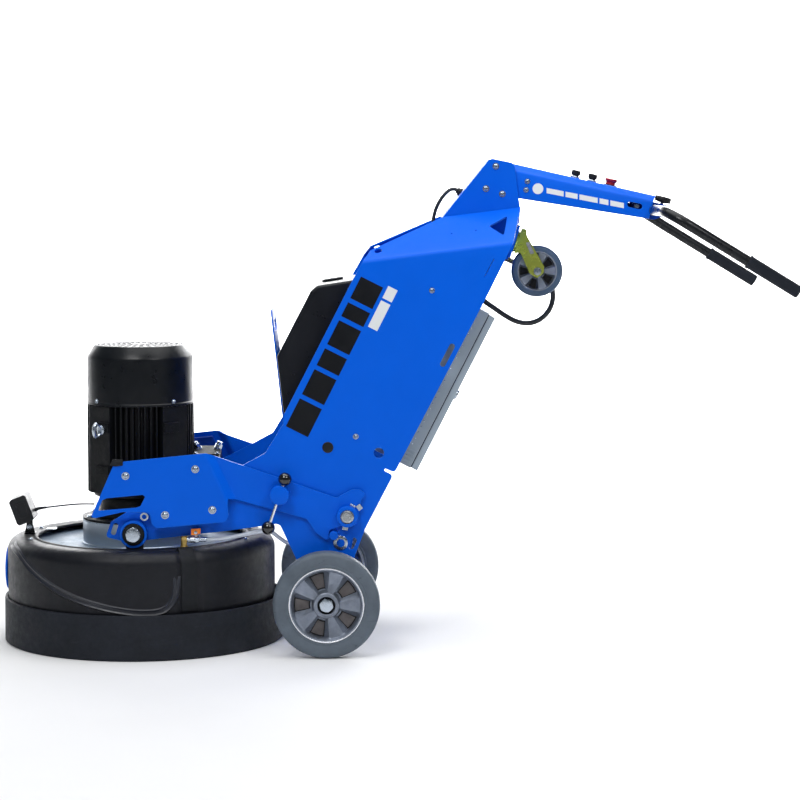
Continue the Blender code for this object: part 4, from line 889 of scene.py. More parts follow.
def markings(name, side):
    """Plain blocks, with no lettering, where such machines carry markings."""
    low, high = PLATE_OUT + 0.00005, PLATE_OUT + 0.00045
    start, across_start = Vector((-0.1216, 0.6874)), Vector((-0.0573, 0.6512))
    along = (Vector((0.1036, 1.1338)) - start).normalized()
    across = Vector((along.y, -along.x)) * (across_start - start).length

    def blocks(first, shares, spans):
        bars = []
        for begin, end in spans:
            corners = [first + along * begin + across * shares[0],
                       first + along * end + across * shares[0],
                       first + along * end + across * shares[1],
                       first + along * begin + across * shares[1]]
            bars.append(on_side(plate(corners, low, high), side))
        return merge(*bars)
    black = blocks(start, (0.0, 1.0), ((0.0, 0.094), (0.108, 0.192), (0.206, 0.262),
                                       (0.276, 0.356), (0.370, 0.416), (0.430, 0.502)))
    piece(f"black_blocks_{name}", black, "marking", "chassis")
    white = blocks(Vector((0.1248, 0.9862)), (0.0, 0.42), ((0.0, 0.088), (0.096, 0.136)))
    piece(f"white_blocks_{name}", white, "white", "chassis")


# --------------------------------------------------------------------- mast and panels


def beam_top_point(x):
    return Vector((x, 0, BEAM_TOP[1] - (x - BEAM_TOP[0]) * math.tan(BEAM_SLOPE)))


def mast():
    outer = [(0.354, 1.309), (0.354, 1.240), (0.380, 1.215), (0.545, 1.250), (0.588, 1.290),
             (0.592, 1.332), (0.585, 1.373), (0.574, 1.465), (0.565, 1.475), (0.506, 1.487),
             (0.495, 1.484)]
    for name, side in SIDES.items():
        shape = rounded(outer, 0.004, steps=3)
        bm = plate(shape, MAST_IN, MAST_OUT)
        piece(f"mast_cheek_{name}", on_side(bm, side), "blue", "chassis",
              ["mast"] if name == "left" else [], 0.0011)
    front = strip([(0.3568, 1.243), (0.3568, 1.309), (0.4965, 1.4818), (0.507, 1.4842),
                   (0.516, 1.4824)], MAST_IN, 0.0056, 0.003)
    piece("mast_front", front, "blue", "chassis", bevel=0.0008)
    for name, side in SIDES.items():
        spots = ((0.516, 1.464), (0.486, 1.396), (0.536, 1.380))
        piece(f"mast_screws_{name}", screw_row(spots, side * MAST_OUT, side, 0.0076), "zinc",
              "chassis")
    gland = turned([(0.0062, 0), (0.0150, 0), (0.0150, 0.003), (hexagon(0.0140), 0.0032),
                    (hexagon(0.0140), 0.010), (0.0105, 0.0102), (0.0098, 0.017),
                    (0.0064, 0.019)], (0.4150, 0, 1.3806), (-0.779, 0, 0.627), 48)
    piece("control_cable_gland", gland, "plastic", "chassis")


def panels():
    refined("inner_panel", "inner_tray", "blue", "chassis", 0.0008)
    line = [(-0.120, 0.6757), (-0.133, 0.684), (-0.170, 1.027)]
    bm = strip(line, 0.140, 0.005, 0.004)
    hole = extrude(capsule((-0.045, 0.975), (0.045, 0.975), 0.017), [],
                   lambda p: (-0.200, p[0], p[1]), (0.10, 0, 0))
    piece("front_panel", cut(bm, hole), "blue", "chassis", ["front_guard"], 0.0010)


TANK = [(-0.131, 0.712), (0.045, 0.712), (0.060, 0.850), (0.125, 1.090), (0.089, 1.1225),
        (-0.028, 1.1045), (-0.048, 1.088), (-0.151, 0.889)]
TANK_NECK = 0.016


def water_tank():
    bm = plate(rounded(TANK, 0.014), -0.200, 0.200)
    piece("tank_shell", bm, "tank", "chassis", ["water_tank"], 0.009, 4)
    (high_x, high_z), (low_x, low_z) = TANK[4:6]
    slope = math.atan2(high_z - low_z, high_x - low_x)
    up = Vector((-math.sin(slope), 0, math.cos(slope)))
    foot = Vector((TANK_NECK, 0, low_z + (TANK_NECK - low_x) * math.tan(slope)))
    collar = turned([(0.0260, -0.004), (0.0375, -0.004), (0.0375, -0.0006), (0.0350, 0.0001),
                     (0.0260, 0.0001)], foot, up, 64)
    piece("tank_collar", collar, "tank", "chassis")

    def ribbed(angle):
        return 0.0328 - 0.0011 * (0.5 + 0.5 * math.cos(24 * angle)) ** 3
    cap = turned([(0, -0.010), (0.0245, -0.010), (0.0245, 0.0004), (0.0322, 0.0006),
                  (ribbed, 0.0016), (ribbed, 0.0062), (0.0305, 0.0080), (0.0285, 0.0083),
                  (0.0265, 0.0074), (0, 0.0074)], foot, up, 192)
    grip_bar = stand(block(-0.0215, 0.0215, -0.0035, 0.0035, 0.0, 0.0030), foot + up * 0.0058, up)
    piece("filler_cap", merge(cap, grip_bar), "plastic", "filler_cap", ["tank_cap"], 0.0003)
    outlet = turned([(0.0064, 0), (0.0125, 0), (0.0125, 0.004), (hexagon(0.0120), 0.0042),
                     (hexagon(0.0120), 0.013), (0.0090, 0.0132), (0.0064, 0.0160)],
                    (-0.040, -0.180, 0.7115), (0, 0, -1), 36)
    piece("tank_outlet", outlet, "brass", "chassis")


# ---------------------------------------------------------------------------- cabinet


def cabinet_point(up, out, y=0.0):
    ux, uz = CABINET_DIR
    return Vector((CABINET_CORNER[0] + ux * up + uz * out, y,
                   CABINET_CORNER[1] + uz * up - ux * out))


def cabinet_box(up, out, y_low, y_high):
    corners = [(up[0], out[0]), (up[0], out[1]), (up[1], out[1]), (up[1], out[0])]
    spots = [cabinet_point(*p) for p in corners]
    return plate([(p.x, p.z) for p in spots], y_low, y_high)


def cabinet():
    refined("electric_cabinet", "cabinet_body", "cabinet", "chassis", 0.0016)
    refined("drive_inverter", "inverter_case", "plastic", "chassis", 0.002)
    refined("cabinet_door", "door_panel", "cabinet", "door", 0.0014)
    half = CABINET_HALF_WIDTH
    seal = cabinet_box((0.003, DOOR_LENGTH), (-0.0224, -0.0202), -half + 0.0006, half - 0.0006)
    inside = cabinet_box((0.012, DOOR_LENGTH - 0.009), (-0.030, -0.010), -half + 0.010,
                         half - 0.010)
    piece("door_seal", cut(seal, inside), "rubber", "chassis")
    normal = Vector((CABINET_DIR[1], 0, -CABINET_DIR[0]))
    spot = cabinet_point(0.260, 0.0, -0.222)
    latch = turned([(0, -0.012), (0.0108, -0.012), (0.0108, 0.0004), (0.0158, 0.0005),
                    (0.0158, 0.0050), (0.0148, 0.0066), (0.0120, 0.0074), (0.0070, 0.0076),
                    (0.0066, 0.0050), (0, 0.0050)], spot, normal, 48)
    slot = stand(block(-0.0060, 0.0060, -0.0009, 0.0009, 0, 0.0024), spot + normal * 0.0047,
                 normal)
    piece("door_lock", merge(latch, slot), "zinc", "latch", ["door_latch"], 0.0003)
    knuckles = []
    for low in (0.030, 0.230, 0.430):
        start, end = (cabinet_point(up, 0.002, half + 0.002) for up in (low, low + 0.06))
        knuckles.append(rod(start, end, 0.0048, 24, 0.0006))
        knuckles.append(cabinet_box((low, low + 0.06), (-0.016, 0.0014), half + 0.0004,
                                    half + 0.0024))
    piece("door_hinges", merge(*knuckles), "zinc", "door", bevel=0.0003)
    for name, side in SIDES.items():
        cabinet_side(name, side)


def cabinet_side(name, side):
    """Louvres and a row of rivets on one side of the cabinet."""
    slots = []
    for k in range(4):
        low = 0.010 + k * 0.012
        slot = cabinet_box((low, low + 0.006), (-0.075, -0.030), CABINET_HALF_WIDTH + 0.0003,
                           CABINET_HALF_WIDTH + 0.0026)
        slots.append(on_side(slot, side))
    piece(f"cabinet_louvres_{name}", merge(*slots), "cabinet", "chassis", bevel=0.0009)
    rivets = []
    for k in range(25):
        centre = cabinet_point(0.030 + k * 0.0195, -0.0500, side * CABINET_HALF_WIDTH)
        rivets.append(turned([(0, 0), (0.0021, 0), (0.0019, 0.0007), (0.0011, 0.0011),
                              (0, 0.0012)], centre, (0, side, 0), 12))
    piece(f"cabinet_rivets_{name}", merge(*rivets), "zinc", "chassis")


# ------------------------------------------------------------------------ handle beam


def handle_beam():
    stations = [((0.530, 1.3765), (0.522, 1.4600), (0.520, 1.4825)),
                ((0.775, 1.340), (0.775, 1.405), (0.777, 1.4247)),
                ((0.987, 1.305), (0.999, 1.357), (1.010, 1.3724))]
    top_y = 0.060
    loops = [upright((low, shoulder), -BEAM_Y) + [(top[0], -top_y, top[1]),
             (top[0], top_y, top[1])] + upright((shoulder, low), BEAM_Y)
             for low, shoulder, top in stations]
    faces = []
    for first, second in zip(loops, loops[1:]):
        for k in range(6):
            j = (k + 1) % 6
            faces.append(([first[k], first[j], second[j], second[k]], []))
    shell = folded(faces, 0.003, 0.0035)
    cuts = [plate(capsule((0.928, 1.3475), (0.957, 1.3415), 0.0085, 12), -0.2, 0.2),
            plate([(0.950, 1.310), (1.080, 1.285), (1.080, 1.360), (0.990, 1.371)],
                  -0.0285, 0.0285)]
    for x in (0.766, 0.818, 0.875):
        spot = beam_top_point(x)
        cuts.append(rod(spot - BEAM_NORMAL * 0.020, spot + BEAM_NORMAL * 0.020,
                        0.0165 if x > 0.85 else 0.0108, 32))
    piece("beam_shell", cut(shell, *cuts), "blue", "chassis", ["handle_beam"], 0.0008)
    bar_clamp()
    for name, side in SIDES.items():
        beam_fittings(name, side)
        beam_stripe(name, side)


def bar_clamp():
    """Split block at the beam's end that grips the handlebar."""
    clamp = plate(rounded([(0.950, 1.309), (1.010, 1.300), (1.056, 1.316), (1.060, 1.330),
                           (1.048, 1.3445), (1.020, 1.352), (0.950, 1.367)], 0.006, steps=4),
                  -0.028, 0.028)
    bore = rod((BAR_X, -0.2, BAR_Z), (BAR_X, 0.2, BAR_Z), BAR_RADIUS + 0.0004, 48)
    split = block(BAR_X + 0.010, 1.10, -0.05, 0.05, BAR_Z - 0.0016, BAR_Z + 0.0016)
    stud_hole = rod(KNOB_BASE - KNOB_AXIS * 0.030, KNOB_BASE + KNOB_AXIS * 0.030, 0.0067, 24)
    # The bar clamp takes the darker blue: painted shade.
    piece("bar_clamp", cut(clamp, bore, split, stud_hole), "deep_blue", "chassis", bevel=0.0012)


def beam_fittings(name, side):
    """End flange, screws and a bolted tab on one side of the beam."""
    # The end flange and the tab take the darker blue: painted shade.
    flange = folded([([(0.9835, 0.0915, 1.3100), (0.9950, 0.0915, 1.3560),
                       (0.9950, 0.0300, 1.3560), (0.9835, 0.0300, 1.3100)], [])], 0.003)
    piece(f"beam_end_flange_{name}", on_side(flange, side), "deep_blue", "chassis", bevel=0.0006)
    screws = screw_row(((0.613, 1.418), (0.609, 1.392)), side * (BEAM_Y + 0.0016), side, 0.0062)
    piece(f"beam_screws_{name}", screws, "zinc", "chassis")
    bolt = hex_bolt((0.951, side * 0.0705, 1.3425), (0, side, 0), 0.0085, 0.0095, 0.0088)
    tab = block(0.935, 0.966, 0.066, 0.0702, 1.322, 1.352)
    piece(f"beam_tab_{name}", on_side(tab, side), "deep_blue", "chassis", bevel=0.0008)
    piece(f"beam_bolt_{name}", bolt, "zinc", "chassis")


def beam_stripe(name, side):
    """A plain disc and a row of plain pale blocks along the side of the beam."""
    low, high = BEAM_Y + 0.00155, BEAM_Y + 0.00195
    first, last = Vector((0.672, 1.3980)), Vector((0.909, 1.3520))
    along = last - first
    bars = [plate(circle(0.6455, 1.3955, 0.0165, 40), low, high)]
    for begin, end in ((0.0, 0.22), (0.245, 0.40), (0.425, 0.66), (0.685, 0.80), (0.825, 1.0)):
        top = [first + along * begin, first + along * end]
        corners = [*top, top[1] - Vector((0, 0.0160)), top[0] - Vector((0, 0.0160))]
        bars.append(plate(corners, low, high))
    piece(f"beam_blocks_{name}", on_side(merge(*bars), side), "white", "chassis")


def controls():
    for node, name, body, x in (("speed_knob", "speed_control", "speed_dial", 0.766),
                                ("mode_knob", "mode_control", "mode_switch", 0.818)):
        spot = beam_top_point(x)

        def fluted(angle):
            return 0.0140 - 0.0010 * (0.5 + 0.5 * math.cos(18 * angle)) ** 2
        knob = turned([(0, -0.015), (0.0096, -0.015), (0.0096, 0.0085), (0.0110, 0.0090),
                       (fluted, 0.0115), (fluted, 0.0235), (0.0120, 0.0255), (0, 0.0258)],
                      spot, BEAM_NORMAL, 108)
        rib = stand(block(-0.0115, 0.0115, -0.0028, 0.0028, 0, 0.0026),
                    spot + BEAM_NORMAL * 0.0232, BEAM_NORMAL)
        piece(name, merge(knob, rib), "plastic", body, [node], 0.0003)
        collar = turned([(0.0112, 0.0017), (0.0152, 0.0017), (0.0152, 0.0052),
                         (0.0140, 0.0068), (0.0112, 0.0068)], spot, BEAM_NORMAL, 64)
        piece(f"{name}_collar", collar, "zinc", "chassis")
    spot = beam_top_point(0.875)
    button = turned([(0, -0.013), (0.0150, -0.013), (0.0150, 0.0120), (0.0160, 0.0135),
                     (0.0190, 0.0168), (0.0194, 0.0185), (0.0194, 0.0222), (0.0186, 0.0236),
                     (0.0160, 0.0238), (0.0140, 0.0228), (0, 0.0222)], spot, BEAM_NORMAL, 72)
    piece("stop_mushroom", button, "red", "stop_head", ["stop_button"])
    collar = turned([(0.0166, 0.0017), (0.0205, 0.0017), (0.0205, 0.0040), (0.0195, 0.0052),
                     (0.0166, 0.0052)], spot, BEAM_NORMAL, 64)
    piece("stop_collar", collar, "plastic", "chassis")


def bar_point(reach, y):
    return Vector((BAR_X + math.cos(BAR_DROP) * reach, y, BAR_Z - math.sin(BAR_DROP) * reach))


def handlebar():
    corner = BAR_HALF_WIDTH - BAR_BEND
    points = [bar_point(BAR_REACH, BAR_HALF_WIDTH), bar_point(0.27, BAR_HALF_WIDTH),
              bar_point(0.18, BAR_HALF_WIDTH)]
    for along, across in arc(0, 0, BAR_BEND, 0, 90, 20):
        points.append(bar_point(BAR_BEND - across, corner + along))
    points.append(bar_point(0, 0.16))
    points += [Vector((p.x, -p.y, p.z)) for p in reversed(points)]
    piece("bar_tube", tube(points, BAR_RADIUS, 40), "gloss_black", "handlebar_frame",
          ["handlebar"])
    heading = bar_point(1, 0) - bar_point(0, 0)
    for name, side in SIDES.items():
        inner, outer = BAR_RADIUS + 0.0004, GRIP_RADIUS
        profile = [(inner, GRIP_START), (outer + 0.0008, GRIP_START),
                   (outer + 0.0014, GRIP_START + 0.0012), (outer + 0.0014, GRIP_START + 0.006),
                   (outer, GRIP_START + 0.008)]
        profile += [(outer, GRIP_END - 0.006), (outer - 0.0010, GRIP_END - 0.0012),
                    (outer - 0.0030, GRIP_END), (0, GRIP_END), (0, BAR_REACH + 0.0004),
                    (inner, BAR_REACH + 0.0004)]
        grip = turned(profile, bar_point(0, side * BAR_HALF_WIDTH), heading, 48,
                      side=Vector((0, 1, 0)).cross(heading))
        piece(f"hand_grip_{name}", grip, "grip", "handlebar_frame", [f"grip_{name}"], sharp=50)

    def lobed(share):
        return lambda angle: share * (0.0240 + 0.0013 * math.tanh(3 * math.cos(8 * angle)))
    knob = turned([(0, 0.0070), (0.0140, 0.0070), (0.0145, 0.0080), (lobed(0.93), 0.0088),
                   (lobed(1.0), 0.0110), (lobed(1.0), 0.0235), (lobed(0.94), 0.0262),
                   (0.0170, 0.0268), (0.0150, 0.0255), (0, 0.0250)], KNOB_BASE, KNOB_AXIS, 160)
    piece("clamp_hand_knob", knob, "plastic", "clamp_screw", ["handlebar_knob"], sharp=40)
    stud = rod(KNOB_BASE - KNOB_AXIS * 0.026, KNOB_BASE + KNOB_AXIS * 0.008, 0.006, 24, 0.0008)
    piece("clamp_stud", stud, "zinc", "clamp_screw")


# ----------------------------------------------------------------------------- wheels


POCKETS = 5
SECTOR = math.pi / POCKETS


def sectors(radius_low, raised, sunk, land):
    """Height of a rim face whose sectors are raised and sunk in turn."""
    def height(angle):
        share = (angle / SECTOR) % 2
        edge = min(share % 1, 1 - share % 1) * SECTOR * radius_low
        up = share < 1
        wall = min(1.0, edge / (land * radius_low))
        blend = 0.5 + 0.5 * wall if up else 0.5 - 0.5 * wall
        return sunk + (raised - sunk) * blend
    return height


def pocket_shade_plates(centre, side, span, radii, low, high):
    """Dark flat sector plates, one laid on the floor of each sunk pocket of a rim: painted shade in
    the pockets.
    """
    plates = []
    for k in range(POCKETS):
        turn = 90 - 360 * (k + 0.75) / POCKETS
        outline = sector(centre[0], centre[2], *radii, turn + span / 2, turn - span / 2, 7)
        plates.append(plate(outline, abs(centre[1]) + low, abs(centre[1]) + high))
    return on_side(merge(*plates), side)


def main_wheel(name, side):
    centre = (0, side * WHEEL_TRACK, AXLE_Z)
    body = f"wheel_{name}"
    tyre = mirrored([(0.1135, -0.0262), (0.1200, -0.0274), (0.1215, -0.0266),
                     (0.1230, -0.0274), (0.1400, -0.0292), (0.1490, -0.0300),
                     (0.1535, -0.0285), (0.1562, -0.0255), (0.1580, -0.0238),
                     (0.1592, -0.0205), (0.1600, -0.0140)])
    piece(f"wheel_tyre_{name}", turned(tyre, centre, (0, 1, 0), 128), "tyre", body,
          [f"tyre_{name}"], sharp=50)
    out = sectors(0.07, 0.0185, 0.0020, 0.10)

    def back(angle):
        return -out(angle)
    rim = [(0.0128, -0.027), (0.0360, -0.027), (0.0380, -0.0255), (0.0400, -0.0200),
           (0.0450, back), (0.0980, back), (0.1015, -0.0200), (0.1060, -0.0262),
           (0.1128, -0.0262), (0.1128, 0.0262), (0.1060, 0.0262), (0.1015, 0.0200),
           (0.0980, out), (0.0450, out), (0.0400, 0.0200), (0.0380, 0.0255), (0.0360, 0.0270),
           (0.0280, 0.0270), (0.0268, 0.0255), (0.0268, 0.0105), (0.0128, 0.0105)]
    if side < 0:
        rim = [(radius, (lambda a, h=height: -at(h, a))) for radius, height in rim]
    piece(f"wheel_rim_{name}", turned(rim, centre, (0, 1, 0), 200, side=(0, 0, 1)),
          "cast", body, [f"rim_{name}"], sharp=28)
    # Black plates over each pocket paint the shade on its walls; narrower, less dark plates on top
    # paint the shade on its floor.
    wall = pocket_shade_plates(centre, side, 30.0, (0.0490, 0.0975), 0.0021, 0.0036)
    piece(f"rim_pocket_wall_shade_{name}", wall, "casting", body, slot="cast_aluminium")
    floor = pocket_shade_plates(centre, side, 23.0, (0.0530, 0.0940), 0.0037, 0.0046)
    piece(f"rim_pocket_floor_shade_{name}", floor, "cast_dark", body, bevel=0.0003)
    lip = [(0.1082, 0.0255), (0.1088, 0.0266), (0.1096, 0.0272), (0.1124, 0.0272),
           (0.1128, 0.0264), (0.1128, 0.0240), (0.1082, 0.0240)]
    ring = turned(lip, centre, (0, side, 0), 128)
    piece(f"rim_lip_{name}", ring, "machined", body)
    seal = turned([(0.0175, 0.0106), (0.0266, 0.0106), (0.0266, 0.0180), (0.0255, 0.0190),
                   (0.0240, 0.0150), (0.0175, 0.0140)], centre, (0, side, 0), 64)
    piece(f"bearing_seal_{name}", seal, "rubber", body)


def axle():
    half = WHEEL_TRACK + 0.0135
    shaft = rod((0, -half + 0.002, AXLE_Z), (0, half - 0.002, AXLE_Z), 0.0125, 40)
    parts = [shaft]
    for side in SIDES.values():
        parts.append(hex_bolt((0, side * (half - 0.003), AXLE_Z), (0, side, 0), 0.0222, 0.0150,
                              0.0170))
    piece("axle_bolt", merge(*parts), "zinc", "chassis", ["wheel_axle"], 0.0005)
    for name, side in SIDES.items():
        spacer = turned([(0.0127, 0), (0.020, 0), (0.020, 0.045), (0.0127, 0.045)],
                        (0, side * (PLATE_OUT + 0.0004), AXLE_Z), (0, side, 0), 40)
        piece(f"axle_spacer_{name}", spacer, "steel", "chassis", bevel=0.0005)


def caster_point(along, down, y=0.0):
    down_dir = Vector((CASTER_AXIS.z, 0.0, -CASTER_AXIS.x))
    return CASTER_BASE + CASTER_AXIS * along + down_dir * down + Vector((0, y, 0))


def caster_prism(outline, y_low, y_high, holes=()):
    def place(point):
        spot = caster_point(*point)
        return (spot.x, y_low, spot.z)
    return extrude(outline, holes, place, (0, y_high - y_low, 0))


def caster():
    """Swivel fork with its kingpin, pressed ridges, foil plate and axle bolt."""
    outline = [(0.0083, -0.046), (0.0235, -0.0455), (0.0290, -0.0300), (0.0350, -0.0230),
               (0.1094, 0.0463), (0.1146, 0.0660), (0.1000, 0.0884), (0.0731, 0.0810),
               (0.0260, 0.0270), (0.0083, 0.0380)]
    body = caster_prism(rounded(outline, 0.008), -CASTER_FACE, CASTER_FACE)
    throat = caster_prism([(0.0125, -0.060), (0.200, -0.060), (0.200, 0.200), (0.0125, 0.200)],
                          -CASTER_LEG, CASTER_LEG)
    piece("fork_pressing", cut(body, throat), "yellow", "caster", ["caster_fork"], 0.0018, 3)
    rings = turned([(0.012, 0.0004), (0.030, 0.0004), (0.0335, 0.0025), (0.0345, 0.0045),
                    (0.0335, 0.0065), (0.0300, 0.0085), (0.012, 0.0085)], CASTER_BASE,
                   CASTER_AXIS, 72)
    piece("swivel_race", rings, "yellow", "caster")
    kingpin = turned([(0, 0.0080), (hexagon(0.0120), 0.0080), (hexagon(0.0120), 0.0150),
                      (hexagon(0.0120, 0.9), 0.0170), (0.0065, 0.0172), (0.0060, 0.0200),
                      (0, 0.0202)], CASTER_BASE, CASTER_AXIS, 36)
    piece("caster_kingpin", kingpin, "zinc", "caster")
    ridges = []
    for side in SIDES.values():
        bend = caster_prism([(0.0640, 0.0500), (0.0900, 0.0300), (0.1094, 0.0480),
                             (0.1130, 0.0660), (0.1000, 0.0868), (0.0750, 0.0800),
                             (0.0560, 0.0600)], CASTER_FACE, CASTER_FACE + 0.0016)
        ridges.append(on_side(bend, side))
    piece("fork_swage", merge(*ridges), "yellow", "caster", bevel=0.0011)
    label = caster_prism(rounded([(0.0330, -0.0060), (0.0430, -0.0120), (0.0680, 0.0170),
                                  (0.0580, 0.0240)], 0.002), CASTER_FACE + 0.0002,
                         CASTER_FACE + 0.0006)
    piece("fork_plate", on_side(label, -1), "label", "caster")
    centre = caster_point(CASTER_OFFSET, CASTER_TRAIL)
    end = Vector((0, CASTER_FACE, 0))
    bolts = [rod(centre - end, centre + end, 0.0058, 24)]
    for side in SIDES.values():
        bolts.append(hex_bolt(centre + end * side, (0, side, 0), 0.0108, 0.0080, 0.0120))
    piece("caster_bolt", merge(*bolts), "zinc", "caster")


def caster_wheel():
    centre = caster_point(CASTER_OFFSET, CASTER_TRAIL)
    tyre = mirrored([(0.0615, -0.0185), (0.0650, -0.0192), (0.0725, -0.0192),
                     (0.0770, -0.0165), (0.0792, -0.0110), (0.0800, -0.0050)])
    piece("caster_tread", turned(tyre, centre, (0, 1, 0), 96), "caster_tyre",
          "caster_roller", ["caster_wheel"], sharp=50)
    face = sectors(0.04, 0.0150, 0.0040, 0.08)

    def back(angle):
        return -face(angle)
    # Black plates in the core's sunk pockets paint the shade in them.
    pocket_shade = [pocket_shade_plates(centre, sign, 28.0, (0.0260, 0.0535), 0.0041, 0.0056)
               for sign in SIDES.values()]
    piece("caster_pocket_shade", merge(*pocket_shade), "casting", "caster_roller", slot="cast_aluminium")
    core = [(0.0062, -0.0235), (0.0165, -0.0235), (0.0200, -0.0170), (0.0225, back),
            (0.0540, back), (0.0565, -0.0160), (0.0580, -0.0186), (0.0613, -0.0186),
            (0.0613, 0.0186), (0.0580, 0.0186), (0.0565, 0.0160), (0.0540, face),
            (0.0225, face), (0.0200, 0.0170), (0.0165, 0.0235), (0.0062, 0.0235)]
    piece("caster_core", turned(core, centre, (0, 1, 0), 200, side=(0, 0, 1)), "cast",
          "caster_roller", sharp=28)


# ------------------------------------------------------------------------ weight arms

FAIRING = [(-0.609, 0.4340), (-0.690, 0.4165), (-0.7036, 0.4190), (-0.633, 0.579),
           (-0.600, 0.586), (-0.364, 0.610), (-0.300, 0.473), (-0.292, 0.424),
           (-0.302, 0.404), (-0.509, 0.385), (-0.522, 0.398), (-0.528, 0.431),
           (-0.548, 0.434)]
HAND_SLOT = [(-0.682, 0.438), (-0.669, 0.470), (-0.655, 0.476), (-0.548, 0.486),
             (-0.541, 0.480), (-0.556, 0.451), (-0.570, 0.447)]


def arm_outline():
    return [(-0.337, 0.600), (-0.252, 0.570), (-0.145, 0.534), (0.029, 0.472), (0.076, 0.497),
            (0.100, 0.497), (0.119, 0.484), (0.104, 0.466), (0.101, 0.440),
            *arc(*ARM_PIVOT, 0.036, 20, -125, 16),
            (0.026, 0.381), (0.0075, 0.3745), (0.0050, 0.360), (0.0095, 0.349),
            (-0.002, 0.345), (-0.032, 0.366), (-0.060, 0.409), (-0.273, 0.467)]


def weight_arm(name, side):
    body = f"weight_{name}"
    shape = arm_outline()
    arm = rounded(shape, 0.010, keep=(0, len(shape) - 1))
    fairing = rounded(FAIRING, 0.010, keep=(5, 6))
    joggle = upright(FAIRING[5:7], FAIRING_Y) + upright((arm[-1], arm[0]), ARM_Y)
    slot = rounded(HAND_SLOT, 0.003, steps=3)
    drilled = [circle(*ARM_PIVOT, 0.0190, 48), circle(*CLAMP, 0.0108, 32)]
    bm = folded([(upright(fairing, FAIRING_Y), [upright(slot, FAIRING_Y)]), (joggle, []),
                 (upright(arm, ARM_Y), [upright(hole, ARM_Y) for hole in drilled])],
                0.006, 0.006)
    piece(f"arm_plate_{name}", on_side(bm, side), "blue", body, [f"weight_arm_{name}"], 0.0009)
    # The ballast block takes the darker blue: painted shade.
    refined(f"weight_block_{name}", f"ballast_{name}", "deep_blue", body, 0.003, slot="dark_steel")
    spots = ((-0.599, 0.543), (-0.391, 0.563), (-0.482, 0.425), (-0.341, 0.440))
    piece(f"fairing_screws_{name}", screw_row(spots, side * (FAIRING_Y + 0.003), side, 0.0088),
          "zinc", body)
    clip = plate(rounded([(-0.645, 0.574), (-0.637, 0.592), (-0.606, 0.5915),
                          (-0.606, 0.5745), (-0.629, 0.5715)], 0.003), FAIRING_Y - 0.0065,
                 FAIRING_Y + 0.0065)
    groove = plate([(-0.700, 0.500), (-0.633, 0.5795), (-0.600, 0.5865), (-0.560, 0.590),
                    (-0.560, 0.500)], FAIRING_Y - 0.0032, FAIRING_Y + 0.0032)
    piece(f"edge_clip_{name}", on_side(cut(clip, groove), side), "rubber", body, bevel=0.0012)
    pivot_boss(name, side)
    screw_clamp(name, side)


def pivot_boss(name, side):
    x, z = ARM_PIVOT
    boss = [(0, PLATE_OUT + 0.0004), (0.0235, PLATE_OUT + 0.0004), (0.0235, ARM_Y - 0.0034),
            (0.0184, ARM_Y - 0.0033), (0.0184, ARM_FACE), (0.0300, ARM_FACE),
            (0.0318, ARM_FACE + 0.0014), (0.0320, ARM_FACE + 0.0040), (0.0320, 0.3265),
            (0.0308, 0.3290), (0.0280, 0.3302), (0.0212, 0.3302), (0.0205, 0.3290),
            (0.0205, 0.3245), (0, 0.3245)]
    piece(f"pivot_boss_{name}", turned(boss, (x, 0, z), (0, side, 0), 80), "blue", "chassis",
          [f"arm_pivot_{name}"], sharp=40)
    bolt = turned([(0, 0.3246), (0.0200, 0.3246), (0.0200, 0.3262), (0.0186, 0.3264),
                   (0.0184, 0.3330), (0.0172, 0.3345), (0.0125, 0.3349), (0.0118, 0.3338),
                   (0.0062, 0.3338), (0.0058, 0.3345), (0, 0.3345)], (x, 0, z), (0, side, 0), 64)
    piece(f"pivot_stud_{name}", bolt, "steel", "chassis")
    tabs = []
    for angle, reach, length in ((62, 0.0330, 0.012), (36, 0.0450, 0.015), (-100, 0.0345, 0.017)):
        heading = Vector((math.cos(math.radians(angle)), 0, math.sin(math.radians(angle))))
        across = Vector((-heading.z, 0, heading.x))
        tab = block(-0.0085, 0.0085, 0, 0.0022, -length / 2, length / 2)
        bmesh.ops.subdivide_edges(tab, edges=tab.edges, cuts=2)
        for vert in tab.verts:
            vert.co.y += 0.72 * max(0.0, vert.co.z) ** 1.5
        matrix = Matrix((across, Vector((0, 1, 0)), heading)).transposed().to_4x4()
        spot = Vector((x, ARM_FACE, z)) + heading * reach
        bmesh.ops.transform(tab, verts=tab.verts, matrix=Matrix.Translation(spot) @ matrix)
        tabs.append(on_side(tab, side))
    piece(f"lock_tabs_{name}", merge(*tabs), "zinc", "chassis", bevel=0.0005)


